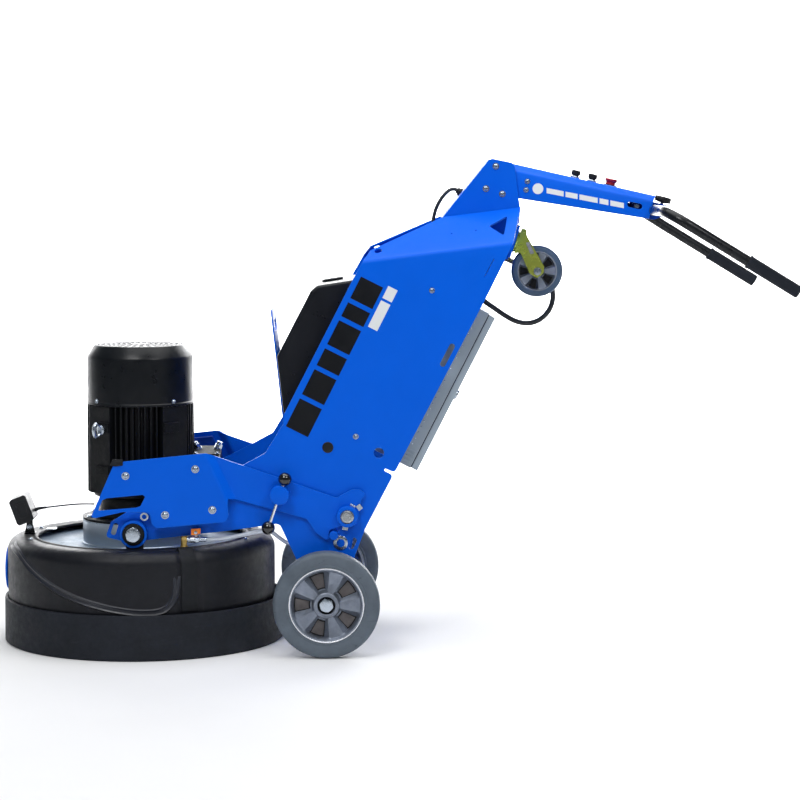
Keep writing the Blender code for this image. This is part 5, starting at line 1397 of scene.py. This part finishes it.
def screw_clamp(name, side):
    origin = Vector((CLAMP[0], 0, CLAMP[1]))
    profile = [(0, PLATE_OUT + 0.001), (0.0100, PLATE_OUT + 0.001), (0.0100, ARM_FACE),
               (0.0165, ARM_FACE), (0.0165, 0.3180), (0.0270, 0.3182), (0.0284, 0.3196),
               (0.0284, 0.3520), (0.0275, 0.3534), (0.0255, 0.3540), (0, 0.3540)]
    bar_dir = Vector((0.326, 0, 0.945)).normalized()
    middle_point = origin + Vector((0, 0.336, 0))
    hole = rod(middle_point - bar_dir * 0.05, middle_point + bar_dir * 0.05, 0.0055, 32)
    cap = cut(turned(profile, origin, (0, 1, 0), 72), hole)
    piece(f"clamp_cap_{name}", on_side(cap, side), "blue", f"clamp_{name}",
          [f"clamp_spindle_{name}"], 0.0005, sharp=40)
    up_end, low_end = middle_point + bar_dir * 0.050, middle_point - bar_dir * 0.105
    bar = rod(low_end, up_end, 0.005, 24)
    piece(f"tommy_bar_{name}", on_side(bar, side), "machined", f"clamp_handle_{name}",
          slot="zinc_steel")
    balls = []
    for spot, way in ((up_end, bar_dir), (low_end, -bar_dir)):
        radius = 0.0204
        profile = [(0, -radius * 0.955), (0.0068, -radius * 0.955)]
        for angle in range(-70, 91, 8):
            turn = math.radians(angle)
            profile.append((radius * math.cos(turn), radius * math.sin(turn)))
        profile.append((0, radius))
        balls.append(on_side(turned(profile, spot, way, 40), side))
    piece(f"bar_balls_{name}", merge(*balls), "ball", f"clamp_handle_{name}", [f"clamp_bar_{name}"])


# --------------------------------------------------------------------- grinding head


def head_pivot(name, side):
    origin = (TILT[0], 0, TILT[1])
    bush = turned([(0.0136, PLATE_IN + 0.0014), (0.0325, PLATE_IN + 0.0014), (0.0325, 0.3250),
                   (0.0310, 0.3264), (0.0290, 0.3256), (0.0265, 0.3262), (0.0136, 0.3262)],
                  origin, (0, side, 0), 72)
    piece(f"rubber_bush_{name}", bush, "rubber", "chassis", [f"yoke_bush_{name}"])
    shank = rod((TILT[0], side * 0.268, TILT[1]), (TILT[0], side * 0.328, TILT[1]), 0.0128, 40)
    washer = rod((TILT[0], side * 0.3268, TILT[1]), (TILT[0], side * 0.3298, TILT[1]), 0.0222,
                 56, 0.0006)
    head = hex_bolt((TILT[0], side * 0.3295, TILT[1]), (0, side, 0), 0.0230, 0.0142)
    piece(f"pivot_bolt_{name}", merge(shank, washer, head), "zinc", "head", [f"tilt_bolt_{name}"],
          0.0006)
    spot = (YOKE_BOLT[0], side * PLATE_OUT, YOKE_BOLT[1])
    washer = turned([(0.0068, 0), (0.0125, 0), (0.0125, 0.0022), (0.0068, 0.0022)], spot,
                    (0, side, 0), 40)
    piece(f"yoke_washer_{name}", washer, "zinc", "chassis", bevel=0.0004)
    bolt = hex_bolt(spot, (0, side, 0), 0.0072, 0.0062)
    piece(f"yoke_bolt_{name}", bolt, "blue", "chassis")


def cover_radius(z):
    """Outer radius of the cover at a height."""
    rise = z - (COVER_TOP - SHOULDER)
    if rise <= 0:
        return COVER_RADIUS
    return COVER_RADIUS - SHOULDER + math.sqrt(max(0.0, SHOULDER ** 2 - rise ** 2))


CHANNELS = (115.2, 244.8)       # degrees round from the front of the cover
CHANNEL_HALF = 4.4


def channel_depth(angle):
    """Depth of the two strap channels at an angle, in radians, from the front."""
    degrees = math.degrees(angle) % 360
    deepest = 0.0
    for middle_angle in CHANNELS:
        off = abs((degrees - middle_angle + 180) % 360 - 180)
        share = min(1.0, max(0.0, (CHANNEL_HALF + 0.9 - off) / 0.9))
        deepest = max(deepest, share * share * (3 - 2 * share))
    return 0.0070 * deepest


def cover():
    bead = [(0.3215, COVER_TOP - 0.0060), (0.3215, COVER_TOP - 0.0010),
            (0.3230, COVER_TOP + 0.0012), (0.3290, COVER_TOP + 0.0016),
            (0.3320, COVER_TOP + 0.0002), (0.3345, COVER_TOP - 0.0014),
            (0.3400, COVER_TOP - 0.0016), (0.3430, COVER_TOP - 0.0002)]
    shoulder = arc(COVER_RADIUS - SHOULDER, COVER_TOP - SHOULDER, SHOULDER, 90, 0, 12)
    wall = [(COVER_RADIUS, 0.240), (COVER_RADIUS, 0.200), (COVER_RADIUS, 0.1500),
            (COVER_RADIUS, 0.1320), (COVER_RADIUS - 0.0012, 0.1260), (COVER_RADIUS - 0.006, 0.125)]
    inner = [(COVER_RADIUS - 0.0085, 0.260),
             *arc(COVER_RADIUS - SHOULDER, COVER_TOP - SHOULDER, SHOULDER - 0.0085, 15, 90, 5)]
    hollowed = [(lambda a, r=radius: r - channel_depth(a), z) for radius, z in shoulder + wall]
    bm = turned(bead + hollowed + inner, *HEAD_AXIS, 360, side=(-1, 0, 0))
    piece("cover_shell", bm, "cover", "head", ["head_cover"], sharp=45)
    for name, side in SIDES.items():
        cover_rib(name, side)
        cover_strap(name, side)
    screws = [screw(spot, (0, 0, 1), 0.0062)
              for spot in round_head(0.352, COVER_TOP - 0.0004, 20, 160, 200, 340)]
    piece("cover_screws", merge(*screws), "zinc", "head")
    emblem = turned([(0, 0), (0.0660, 0), (0.0680, 0.0012), (0.0680, 0.0050), (0.0655, 0.0072),
                     (0.0560, 0.0086), (0.0545, 0.0078), (0, 0.0084)],
                    (HEAD_X - COVER_RADIUS + 0.0035, 0, 0.2150), (-1, 0, 0), 96)
    piece("front_disc", emblem, "blue", "head")
    skirt = [(SKIRT_RADIUS - 0.0035, 0.0004), (SKIRT_RADIUS - 0.0008, 0.0030),
             (SKIRT_RADIUS - 0.0010, 0.0600), (SKIRT_RADIUS - 0.0016, 0.1300),
             (SKIRT_RADIUS - 0.0028, 0.1352), (SKIRT_RADIUS - 0.0055, 0.1368), (0.4255, 0.1368),
             (0.4255, 0.0012)]
    piece("brush_skirt", turned(skirt, (SKIRT_X, 0, 0), (0, 0, 1), 180), "skirt",
          "head", ["head_skirt"], sharp=40)


def cover_strap(name, side):
    """Flat band in the cover's channel, with a block that stands on the shoulder."""
    middle_turn = math.radians(CHANNELS[0])
    half = math.radians(CHANNEL_HALF - 0.9)
    shoulder = arc(COVER_RADIUS - SHOULDER, COVER_TOP - SHOULDER, SHOULDER - 0.0045, 90, 0, 10)
    outer = [(0.3600, COVER_TOP + 0.0070), (0.3780, COVER_TOP + 0.0070),
             (0.3860, COVER_TOP + 0.0020), *shoulder[4:], (COVER_RADIUS - 0.0045, 0.1400)]
    inner = [(COVER_RADIUS - 0.0080, 0.1400), (COVER_RADIUS - 0.0080, 0.2600),
             (0.3800, 0.3020), (0.3600, COVER_TOP - 0.0040)]
    outline = outer + inner
    bm = bmesh.new()
    rows = []
    for k in range(9):
        angle = middle_turn - half + 2 * half * k / 8
        rows.append([bm.verts.new((HEAD_X - radius * math.cos(angle),
                                   side * radius * math.sin(angle), z))
                     for radius, z in outline])
    piece(f"cover_strap_{name}", skin(bm, rows), "rubber", "head", slot="black_plastic",
          bevel=0.0012, sharp=40)


def cover_rib(name, side):
    """Raised double bead that runs from the front edge down and round to the channel."""
    turns = [(17.0, 0.3090), (24.0, 0.3010), (32.8, 0.2871), (41.1, 0.2559), (50.3, 0.2248),
             (59.8, 0.1966), (69.6, 0.1748), (81.3, 0.1554), (91.8, 0.1440), (99.6, 0.1428),
             (104.3, 0.1510), (107.3, 0.1715), (108.8, 0.1940), (109.4, 0.2250),
             (109.6, 0.2500)]

    def spot(turn, z, proud):
        radius = cover_radius(z) + proud
        angle = math.radians(turn)
        return Vector((HEAD_X - radius * math.cos(angle), side * radius * math.sin(angle), z))
    line = smooth_route([(turn, 0, z * 200) for turn, z in turns], 1.2)
    path = [(p.x, p.z / 200) for p in line]
    rings = []
    section = ((-0.0125, -0.0012), (-0.0106, 0.0018), (-0.0078, 0.0046), (-0.0046, 0.0026),
               (0.0, 0.0004), (0.0046, 0.0026), (0.0078, 0.0046), (0.0106, 0.0018),
               (0.0125, -0.0012))
    bm = bmesh.new()
    for k, (turn, z) in enumerate(path):
        here = spot(turn, z, 0)
        ahead = (spot(*path[min(k + 1, len(path) - 1)], 0)
                 - spot(*path[max(k - 1, 0)], 0)).normalized()
        middle_line = Vector((HEAD_X, 0, min(z, COVER_TOP - SHOULDER)))
        radial = Vector((here.x - HEAD_X, here.y, 0)).normalized()
        centre = middle_line + radial * (COVER_RADIUS - SHOULDER)
        normal = (here - centre).normalized() if z > COVER_TOP - SHOULDER else radial
        across = ahead.cross(normal).normalized()
        fade = min(1.0, k / 5, (len(path) - 1 - k) / 5)
        rings.append([bm.verts.new(here + across * offset + normal * (height * fade - 0.0006))
                      for offset, height in section])
    # The bead's lighter black is a painted highlight.
    piece(f"cover_rib_{name}", skin(bm, rings), "rib", "head", sharp=60)


def deck():
    top = [(0.040, DECK_TOP - 0.010), (0.386, DECK_TOP - 0.010), (0.386, DECK_TOP - 0.0004),
           (0.3180, DECK_TOP - 0.0004), (0.3160, DECK_TOP - 0.0012), (0.3120, DECK_TOP - 0.0012),
           (0.3100, DECK_TOP), (0.2520, DECK_TOP), (0.2500, DECK_TOP + 0.0016),
           (0.2060, DECK_TOP + 0.0016), (0.2040, DECK_TOP), (0.040, DECK_TOP)]
    bm = turned(top, *HEAD_AXIS, 160)
    piece("deck_plate", bm, "deck", "head", ["head_base"], sharp=40)
    for name, side in SIDES.items():
        outline = rounded([(-0.604, DECK_TOP - 0.004), (-0.554, DECK_TOP - 0.004),
                           (-0.549, 0.385), (-0.560, 0.396), (-0.598, 0.396),
                           (-0.609, 0.385)], 0.006)
        bracket = plate(outline, 0.268, 0.2835, [circle(*TILT, 0.0134, 40)])
        piece(f"tilt_bracket_{name}", on_side(bracket, side), "dark_steel", "head", bevel=0.0012)


def hub():
    wall = [(HUB_RADIUS - 0.0240, DECK_TOP + 0.0006), (HUB_RADIUS, DECK_TOP + 0.0006),
            (HUB_RADIUS, DECK_TOP + 0.0040), (HUB_RADIUS - 0.0018, DECK_TOP + 0.0056),
            (HUB_RADIUS - 0.0018, 0.3690), (HUB_RADIUS - 0.0005, 0.3705),
            (HUB_RADIUS - 0.0005, 0.3726), (HUB_RADIUS - 0.0240, 0.3726)]
    piece("hub_ring", turned(wall, *HEAD_AXIS, 160), "hub", "head", ["head_hub"],
          sharp=30)
    gasket = [(0.150, 0.3728), (HUB_RADIUS - 0.0025, 0.3728), (HUB_RADIUS - 0.0020, 0.3744),
              (HUB_RADIUS - 0.0030, 0.3760), (HUB_RADIUS - 0.0020, 0.3774),
              (HUB_RADIUS - 0.0025, 0.3780), (0.150, 0.3780)]
    piece("hub_gasket", turned(gasket, *HEAD_AXIS, 120), "rubber", "head")
    lid = [(0.030, 0.3782), (HUB_RADIUS - 0.0008, 0.3782), (HUB_RADIUS, 0.3788),
           (HUB_RADIUS, 0.3800), (HUB_RADIUS - 0.0010, 0.3810), (0.030, 0.3810)]
    piece("hub_lid", turned(lid, *HEAD_AXIS, 120), "casting", "head")
    bolts = [hex_bolt(spot, (0, 0, 1), 0.0095, 0.0075, 0.0110)
             for spot in round_head(0.166, 0.3808, *[22.5 + 45 * k for k in range(8)])]
    piece("hub_bolts", merge(*bolts), "zinc", "head")


def motor():
    flange = [(0.040, 0.3814), (0.1500, 0.3814), (0.1512, 0.3826), (0.1512, 0.3960),
              (0.1495, 0.3980), (0.1330, 0.4010), (0.1290, 0.4060), (0.1270, 0.4300),
              (0.1310, 0.4420), (0.1460, 0.4480), (0.1470, 0.4600), (0.040, 0.4600)]
    piece("motor_flange", turned(flange, *HEAD_AXIS, 96), "casting", "head",
          ["motor_body"], 0.0010, sharp=35)
    fins = 56
    star = []
    for k in range(fins):
        middle_turn = 2 * math.pi * (k + 0.5) / fins
        away = abs((math.degrees(middle_turn) % 90) - 45)
        tip = 0.1655 if away > 12 else 0.158
        for offset, radius in ((-0.030, 0.1470), (-0.014, tip), (0.014, tip), (0.030, 0.1470)):
            angle = middle_turn + offset
            star.append((HEAD_X + radius * math.cos(angle), radius * math.sin(angle)))
    body = slab(star, 0.4600, MOTOR_TOP - 0.0004, [circle(HEAD_X, 0, 0.082, 40)])
    piece("motor_fins", body, "casting", "head", bevel=0.0007, sharp=40)
    pads = []
    for panel_angle, lug_angle in ((45, 51), (135, 129), (225, 231), (315, 309)):
        out = outward(lug_angle)
        shapes = [(block(0.130, 0.1640, -0.048, 0.048, 0.4620, 0.7300), panel_angle),
                  (block(0.150, 0.1720, -0.028, 0.028, 0.6520, 0.6820), lug_angle),
                  (block(0.150, 0.1720, -0.028, 0.028, 0.5220, 0.5480), lug_angle)]
        pads += [turned_on_head(shape, angle) for shape, angle in shapes]
        for z in (0.667, 0.535):
            pads.append(turned([(0.0050, 0), (0.0078, 0), (0.0078, 0.0012), (0.0050, 0.0012)],
                               Vector((HEAD_X, 0, z)) + out * 0.1716, out, 24))
    piece("motor_lugs", merge(*pads), "casting", "head", bevel=0.0016)
    eye_bolt()
    bolts = [hex_bolt(spot, (0, 0, 1), 0.0110, 0.0100, 0.0125)
             for spot in round_head(0.1400, 0.3985, 45, 135, 225, 315)]
    piece("flange_bolts", merge(*bolts), "zinc", "head")


def eye_bolt():
    """Lifting eye screwed into the motor's near front lug."""
    out = outward(231)
    base = Vector((HEAD_X, 0, 0.6600)) + out * 0.1722
    collar = turned([(0, -0.010), (0.0140, 0), (0.0155, 0.0010), (0.0155, 0.0050),
                     (0.0110, 0.0080), (0, 0.0080)], base, out, 32)
    centre = base + out * 0.0190
    tall, wide, thick = 0.0205, 0.0125, 0.0058
    bm = bmesh.new()
    rows = []
    side = Vector((-out.y, out.x, 0))
    for k in range(40):
        angle = 2 * math.pi * k / 40
        spoke = (out * math.cos(angle) + Vector((0, 0, 1)) * math.sin(angle)).normalized()
        point = centre + out * wide * math.cos(angle) + Vector((0, 0, tall * math.sin(angle)))
        rows.append([bm.verts.new(point + (spoke * math.cos(2 * math.pi * j / 14)
                                           + side * math.sin(2 * math.pi * j / 14)) * thick)
                     for j in range(14)])
    piece("lifting_eye", merge(collar, skin(bm, rows, ring=True)), "zinc", "head")


def terminal_box():
    """Connection box whose lid slopes down to the near side."""
    front, back, half = HEAD_X + 0.1655, -0.335, 0.060
    low_edge, high_edge = 0.570, 0.584

    def layer(inset, under, over):
        outline = [(inset - half, low_edge + under), (half - inset, high_edge + under),
                   (half - inset, high_edge + over), (inset - half, low_edge + over)]
        return extrude(outline, [], lambda p: (front + inset, p[0], p[1]),
                       (back - front - 2 * inset, 0, 0))
    box = extrude([(-half, 0.500), (half, 0.500), (half, high_edge), (-half, low_edge)], [],
                  lambda p: (front, p[0], p[1]), (back - front, 0, 0))
    piece("terminal_case", box, "casting", "head", ["terminal_box"], 0.004, 3)
    piece("terminal_gasket", layer(0.0015, 0.0002, 0.0018), "rubber", "head", bevel=0.0006)
    piece("terminal_lid", layer(0.0, 0.0020, 0.0065), "rubber", "head", slot="motor_casting",
          bevel=0.0018, steps=3)
    slope = math.atan2(high_edge - low_edge, 2 * half)
    up = (0, -math.sin(slope), math.cos(slope))
    screws = []
    for x in (front + 0.008, back - 0.008):
        for y in (-0.050, 0.050):
            z = low_edge + 0.0062 + (y + half) * math.tan(slope)
            screws.append(screw((x, y, z), up, 0.0050))
    piece("terminal_screws", merge(*screws), "zinc", "head")
    glands = []
    for x, lean in ((front + 0.010, -0.55), (back - 0.010, 0.35)):
        glands.append(turned([(0, -0.006), (0.0125, -0.006), (0.0125, 0.003),
                              (hexagon(0.0120), 0.0032), (hexagon(0.0120), 0.0120),
                              (0.0092, 0.0124), (0.0085, 0.0220), (0, 0.0225)],
                             (x, 0.020, high_edge + 0.0020), (lean, 0, 1), 48))
    piece("terminal_glands", merge(*glands), "zinc", "head")


def fan_cover():
    z = MOTOR_TOP + 0.0004
    wall = [(0.1660, z), (0.1660, z + 0.006), (0.1640, z + 0.0085), (0.1640, 0.8740),
            (0.1636, 0.8775), (0.1622, 0.8810), (0.1432, 0.9115), (0.1412, 0.9136),
            (0.1385, 0.9144), (0.1385, 0.9126), (0.1405, 0.9110), (0.1598, 0.8800),
            (0.1610, 0.8760), (0.1610, z)]
    piece("fan_housing", turned(wall, *HEAD_AXIS, 128), "fan_black", "head",
          ["fan_cover"], sharp=28)
    bm = bmesh.new()
    bands = [0.0, 0.022, 0.030, 0.040, 0.046, 0.056, 0.062, 0.072, 0.078, 0.088, 0.094, 0.104,
             0.110, 0.120, 0.126, 0.132, 0.1390]
    count = 96
    rings = []
    for radius in bands[1:]:
        lift = 0.9150 - 0.0012 * (radius / 0.139) ** 2
        rings.append([bm.verts.new((HEAD_X + radius * math.cos(2 * math.pi * k / count),
                                    radius * math.sin(2 * math.pi * k / count), lift))
                      for k in range(count)])
    bm.faces.new(rings[0])
    open_bands = {1: 8, 3: 6, 5: 4, 7: 4, 9: 3, 11: 3, 13: 3}
    for band in range(len(rings) - 1):
        every = open_bands.get(band)
        for k in range(count):
            if every and k % every:
                continue
            j = (k + 1) % count
            bm.faces.new((rings[band][k], rings[band][j], rings[band + 1][j],
                          rings[band + 1][k]))
    bmesh.ops.recalc_face_normals(bm, faces=bm.faces)
    obj = scratch(bm)
    modifier = obj.modifiers.new("thickness", "SOLIDIFY")
    modifier.thickness = 0.0016
    modifier.offset = 0.0
    piece("fan_grille", evaluated(obj), "fan_black", "head", sharp=50)
    screws = [screw(*round_head(0.1638, 0.7460, angle), outward(angle), 0.0056)
              for angle in (221, 313, 45, 135)]
    piece("fan_screws", merge(*screws), "zinc", "head")


def drive_parts():
    refined("motor_rotor", "rotor_shaft", "dark_steel", "rotor", 0.001)
    blades = [turned_on_head(block(0.030, 0.126, -0.0014, 0.0014, 0.8040, 0.8360), turn)
              for turn in range(0, 360, 40)]
    piece("fan_blades", merge(*blades), "plastic", "rotor", bevel=0.0008)
    refined("disc_carrier", "planet_carrier", "cast", "carrier", 0.0015)
    for index in range(1, 4):
        node = f"grinding_disc_{index}"
        spot = middle(node) - Vector((FRAME_X, 0, 0))
        profile = [(0, 0.0120), (0.0700, 0.0120), (0.0740, 0.0100), (0.1220, 0.0100),
                   (0.1245, 0.0125), (0.1245, 0.0260), (0.1220, 0.0300), (0.0300, 0.0395),
                   (0.0300, 0.1170), (0.0285, 0.1180), (0, 0.1180)]
        disc = turned(profile, (spot.x, spot.y, 0), (0, 0, 1), 96)
        piece(f"tool_plate_{index}", disc, "dark_steel", f"disc_{index}", [node],
              slot="diamond_tool")
        segments = [slab(sector(spot.x, spot.y, 0.0830, 0.1190, turn, turn + 23, 6),
                         0.0002, 0.0106) for turn in range(0, 360, 40)]
        piece(f"tool_segments_{index}", merge(*segments), "segment", f"disc_{index}", bevel=0.0012)


# -------------------------------------------------------------------- lamp and valve


def lamp():
    x, z = LAMP_PIVOT
    foot = block(x - 0.017, x + 0.017, -0.006, 0.032, COVER_TOP + 0.0004, COVER_TOP + 0.0036)
    ear = plate([(x - 0.0170, COVER_TOP + 0.001), (x + 0.0170, COVER_TOP + 0.001),
                 *arc(x, z, 0.012, 0, 180, 20)], 0.0004, 0.0040, [circle(x, z, 0.0044, 24)])
    piece("lamp_foot", merge(foot, ear), "gloss_black", "head", ["lamp_bracket"], 0.0007)
    outline = [(-0.990, 0.424), (-0.984, 0.433), (-0.946, 0.448), (-0.938, 0.444),
               (-0.913, 0.376), (-0.918, 0.368), (-0.958, 0.352), (-0.966, 0.358)]
    body = plate(rounded(outline, 0.006), -0.050, 0.050)
    front = (Vector((-0.966, 0.358)), Vector((-0.990, 0.424)))
    along = (front[1] - front[0]).normalized()
    inward = Vector((along.y, -along.x))
    low, high = front[0] + along * 0.007, front[1] - along * 0.007
    corners = [low - inward * 0.02, high - inward * 0.02, high + inward * 0.004,
               low + inward * 0.004]
    recess = plate(corners, -0.043, 0.043)
    window = rounded([(-0.9700, 0.4180), (-0.9440, 0.4270), (-0.9300, 0.3830),
                      (-0.9550, 0.3740)], 0.004)
    sunk = [plate(window, low_y, low_y + 0.0032) for low_y in (-0.0520, 0.0488)]
    piece("lamp_housing", cut(body, recess, *sunk), "plastic", "lamp", ["lamp_head"], 0.0010)
    corners = [low + inward * 0.0010, high + inward * 0.0010, high + inward * 0.0036,
               low + inward * 0.0036]
    lens = plate(corners, -0.0428, 0.0428)
    piece("lamp_glass", lens, "lens", "lamp", bevel=0.0006)
    lug = plate(rounded([(x - 0.010, z - 0.010), (x + 0.010, z - 0.010), (x + 0.010, z + 0.030),
                         (x - 0.010, z + 0.030)], 0.007), -0.0040, 0.0)
    piece("lamp_lug", lug, "gloss_black", "lamp", slot="black_plastic", bevel=0.0007)
    bolt = [rod((x, -0.0050, z), (x, 0.0060, z), 0.0039, 24)]
    for side, face in ((-1, -0.0040), (1, 0.0042)):
        bolt.append(hex_bolt((x, face, z), (0, side, 0), 0.0076, 0.0058, 0.0085))
    piece("lamp_bolt", merge(*bolt), "zinc", "lamp")
    lamp_cable_end()
    tab = block(-0.8930, -0.8630, 0.090, 0.120, COVER_TOP + 0.0002, COVER_TOP + 0.0020)
    piece("cover_tab", tab, "zinc", "head", bevel=0.0006)


def lamp_cable_end():
    """Ribbed boot on the cable and the socket that it enters."""
    boot = smooth_route([LAMP_SOCKET, (-0.9170, 0.020, 0.3932), (-0.9080, 0.020, 0.3967),
                         (-0.8960, 0.019, 0.3990), (-0.8820, 0.0182, 0.4008)], 0.002)
    sizes = [0.0062 - 0.0030 * k / (len(boot) - 1) + 0.0004 * (k % 4 == 0)
             for k in range(len(boot))]
    piece("lamp_strain_relief", tube(boot, sizes, 20), "rubber", "lamp", slot="black_plastic")
    socket = turned([(0, -0.002), (0.0085, -0.002), (0.0085, 0.006), (0.0070, 0.0085),
                     (0, 0.0085)], LAMP_SOCKET, (0.93, 0, 0.37), 32)
    piece("lamp_socket", socket, "plastic", "lamp")


def valve():
    """Ball valve between a brass elbow and the hose, with an upright orange lever."""
    x, z = VALVE
    y = VALVE_Y
    elbow_x = -0.4279
    foot = hex_bolt((elbow_x, y, COVER_TOP + 0.0004), (0, 0, 1), 0.0122, 0.0100)
    riser = rod((elbow_x, y, COVER_TOP + 0.0050), (elbow_x, y, z + 0.0100), 0.0092, 32, 0.0012)
    corner = turned([(0, 0), (hexagon(0.0118), 0), (hexagon(0.0118), 0.0150), (0.0080, 0.0155),
                     (0, 0.0155)], (elbow_x - 0.0060, y, z), (1, 0, 0), 36)
    piece("valve_elbow", merge(foot, riser, corner), "brass", "head", ["water_valve"], 0.0008)
    body = turned([(0, 0), (0.0066, 0), (0.0066, 0.0035), (hexagon(0.0108), 0.0038),
                   (hexagon(0.0108), 0.0110), (0.0102, 0.0125), (0.0102, 0.0250),
                   (hexagon(0.0108), 0.0262), (hexagon(0.0108), 0.0350), (0.0070, 0.0358),
                   (0, 0.0358)], (-0.4184, y, z), (1, 0, 0), 48)
    piece("valve_ball_body", body, "zinc", "head", bevel=0.0003)
    barb = [(0, 0), (0.0066, 0)]
    for k in range(4):
        barb += [(0.0074, 0.002 + 0.005 * k), (0.0060, 0.0056 + 0.005 * k)]
    barb += [(0.0050, 0.0250), (0, 0.0250)]
    piece("hose_barb", turned(barb, (-0.3832, y, z), (1, 0, 0), 40), "zinc", "head")
    piece("valve_stem", rod((x, y, z + 0.006), (x, y, z + 0.0150), 0.0038, 24), "zinc", "head")
    nut = turned([(0, 0), (hexagon(0.0056), 0), (hexagon(0.0056), 0.0032), (0.0036, 0.0036),
                  (0, 0.0036)], (x, y - 0.0048, z + 0.0225), (0, -1, 0), 24)
    low, high = z + 0.0138, z + 0.0344
    outline = rounded([(x - 0.0140, low), (x + 0.0050, low), (x + 0.0060, low + 0.0040),
                       (x + 0.0135, low + 0.0048), (x + 0.0148, high - 0.0030),
                       (x + 0.0135, high), (x - 0.0140, high - 0.0020)], 0.0016, steps=3)
    blade = plate(outline, y - 0.0048, y + 0.0048)
    piece("lever_blade", blade, "orange", "valve_handle", ["valve_lever"], 0.0010, 3)
    piece("lever_nut", nut, "zinc", "valve_handle")


def stage():
    bm = bmesh.new()
    half, curve_y, bend, top = 16.0, 7.5, 2.5, 9.0
    line = [(-half, 0.0), (curve_y, 0.0)]
    line += [(curve_y + bend * math.sin(math.radians(a)), bend - bend * math.cos(math.radians(a)))
             for a in range(6, 91, 6)]
    line.append((curve_y + bend, top))
    rows = [[bm.verts.new((x, y, z - 0.0004)) for x in (-half, half)] for y, z in line]
    for low, high in zip(rows, rows[1:]):
        bm.faces.new((low[0], low[1], high[1], high[0]))
    mesh = bpy.data.meshes.new("studio_floor")
    bm.to_mesh(mesh)
    bm.free()
    mesh.shade_smooth()
    g = Graph("pale_studio_floor")
    g.put(g.shader.inputs["Base Color"],
          g.mix(g.span(g.noise(1.5), 0.3, 0.7), (0.84, 0.84, 0.845), (0.86, 0.86, 0.865)))
    g.shader.inputs["Roughness"].default_value = 0.85
    g.shader.inputs["Specular IOR Level"].default_value = 0.2
    mesh.materials.append(g.mat)
    obj = bpy.data.objects.new("studio_floor", mesh)
    bpy.context.scene.collection.objects.link(obj)


def area_light(name, place, target, size, power, colour=(1, 1, 1)):
    data = bpy.data.lights.new(name, "AREA")
    data.shape = "RECTANGLE"
    data.size, data.size_y = size
    data.energy = power
    data.color = colour
    obj = bpy.data.objects.new(name, data)
    obj.location = place
    obj.rotation_euler = (Vector(target) - Vector(place)).to_track_quat("-Z", "Y").to_euler()
    bpy.context.scene.collection.objects.link(obj)


def lights():
    scene = bpy.context.scene
    world = bpy.data.worlds.new("studio")
    world.use_nodes = True
    background = world.node_tree.nodes["Background"]
    background.inputs["Color"].default_value = (0.80, 0.90, 1.0, 1.0)
    background.inputs["Strength"].default_value = 0.14
    scene.world = world
    scene.view_settings.view_transform = "Standard"
    area_light("overhead", (0.0, -0.2, 3.6), (0, 0, 0.5), (3.6, 2.4), 84)
    area_light("front_high", (-1.6, -3.6, 4.2), (-0.2, 0, 0.6), (1.6, 1.2), 100)
    area_light("front_right", (2.2, -3.6, 3.8), (0.3, 0, 0.7), (1.2, 1.2), 62)
    area_light("rear_rim", (1.8, 3.2, 2.8), (0, 0, 0.8), (2.0, 1.4), 50, (0.97, 0.98, 1.0))
    area_light("backdrop_wash", (0.0, 6.6, 5.6), (0, 10.0, 1.4), (14.0, 1.8), 2700)


for side_name, side_sign in SIDES.items():
    for build in (side_plate, plate_fittings, markings, main_wheel, weight_arm, head_pivot):
        build(side_name, side_sign)
for build in (mast, panels, water_tank, cabinet, handle_beam, controls, handlebar, axle, caster,
              caster_wheel, deck, cover, hub, motor, terminal_box, fan_cover, drive_parts, lamp,
              valve, stage, lights):
    build()
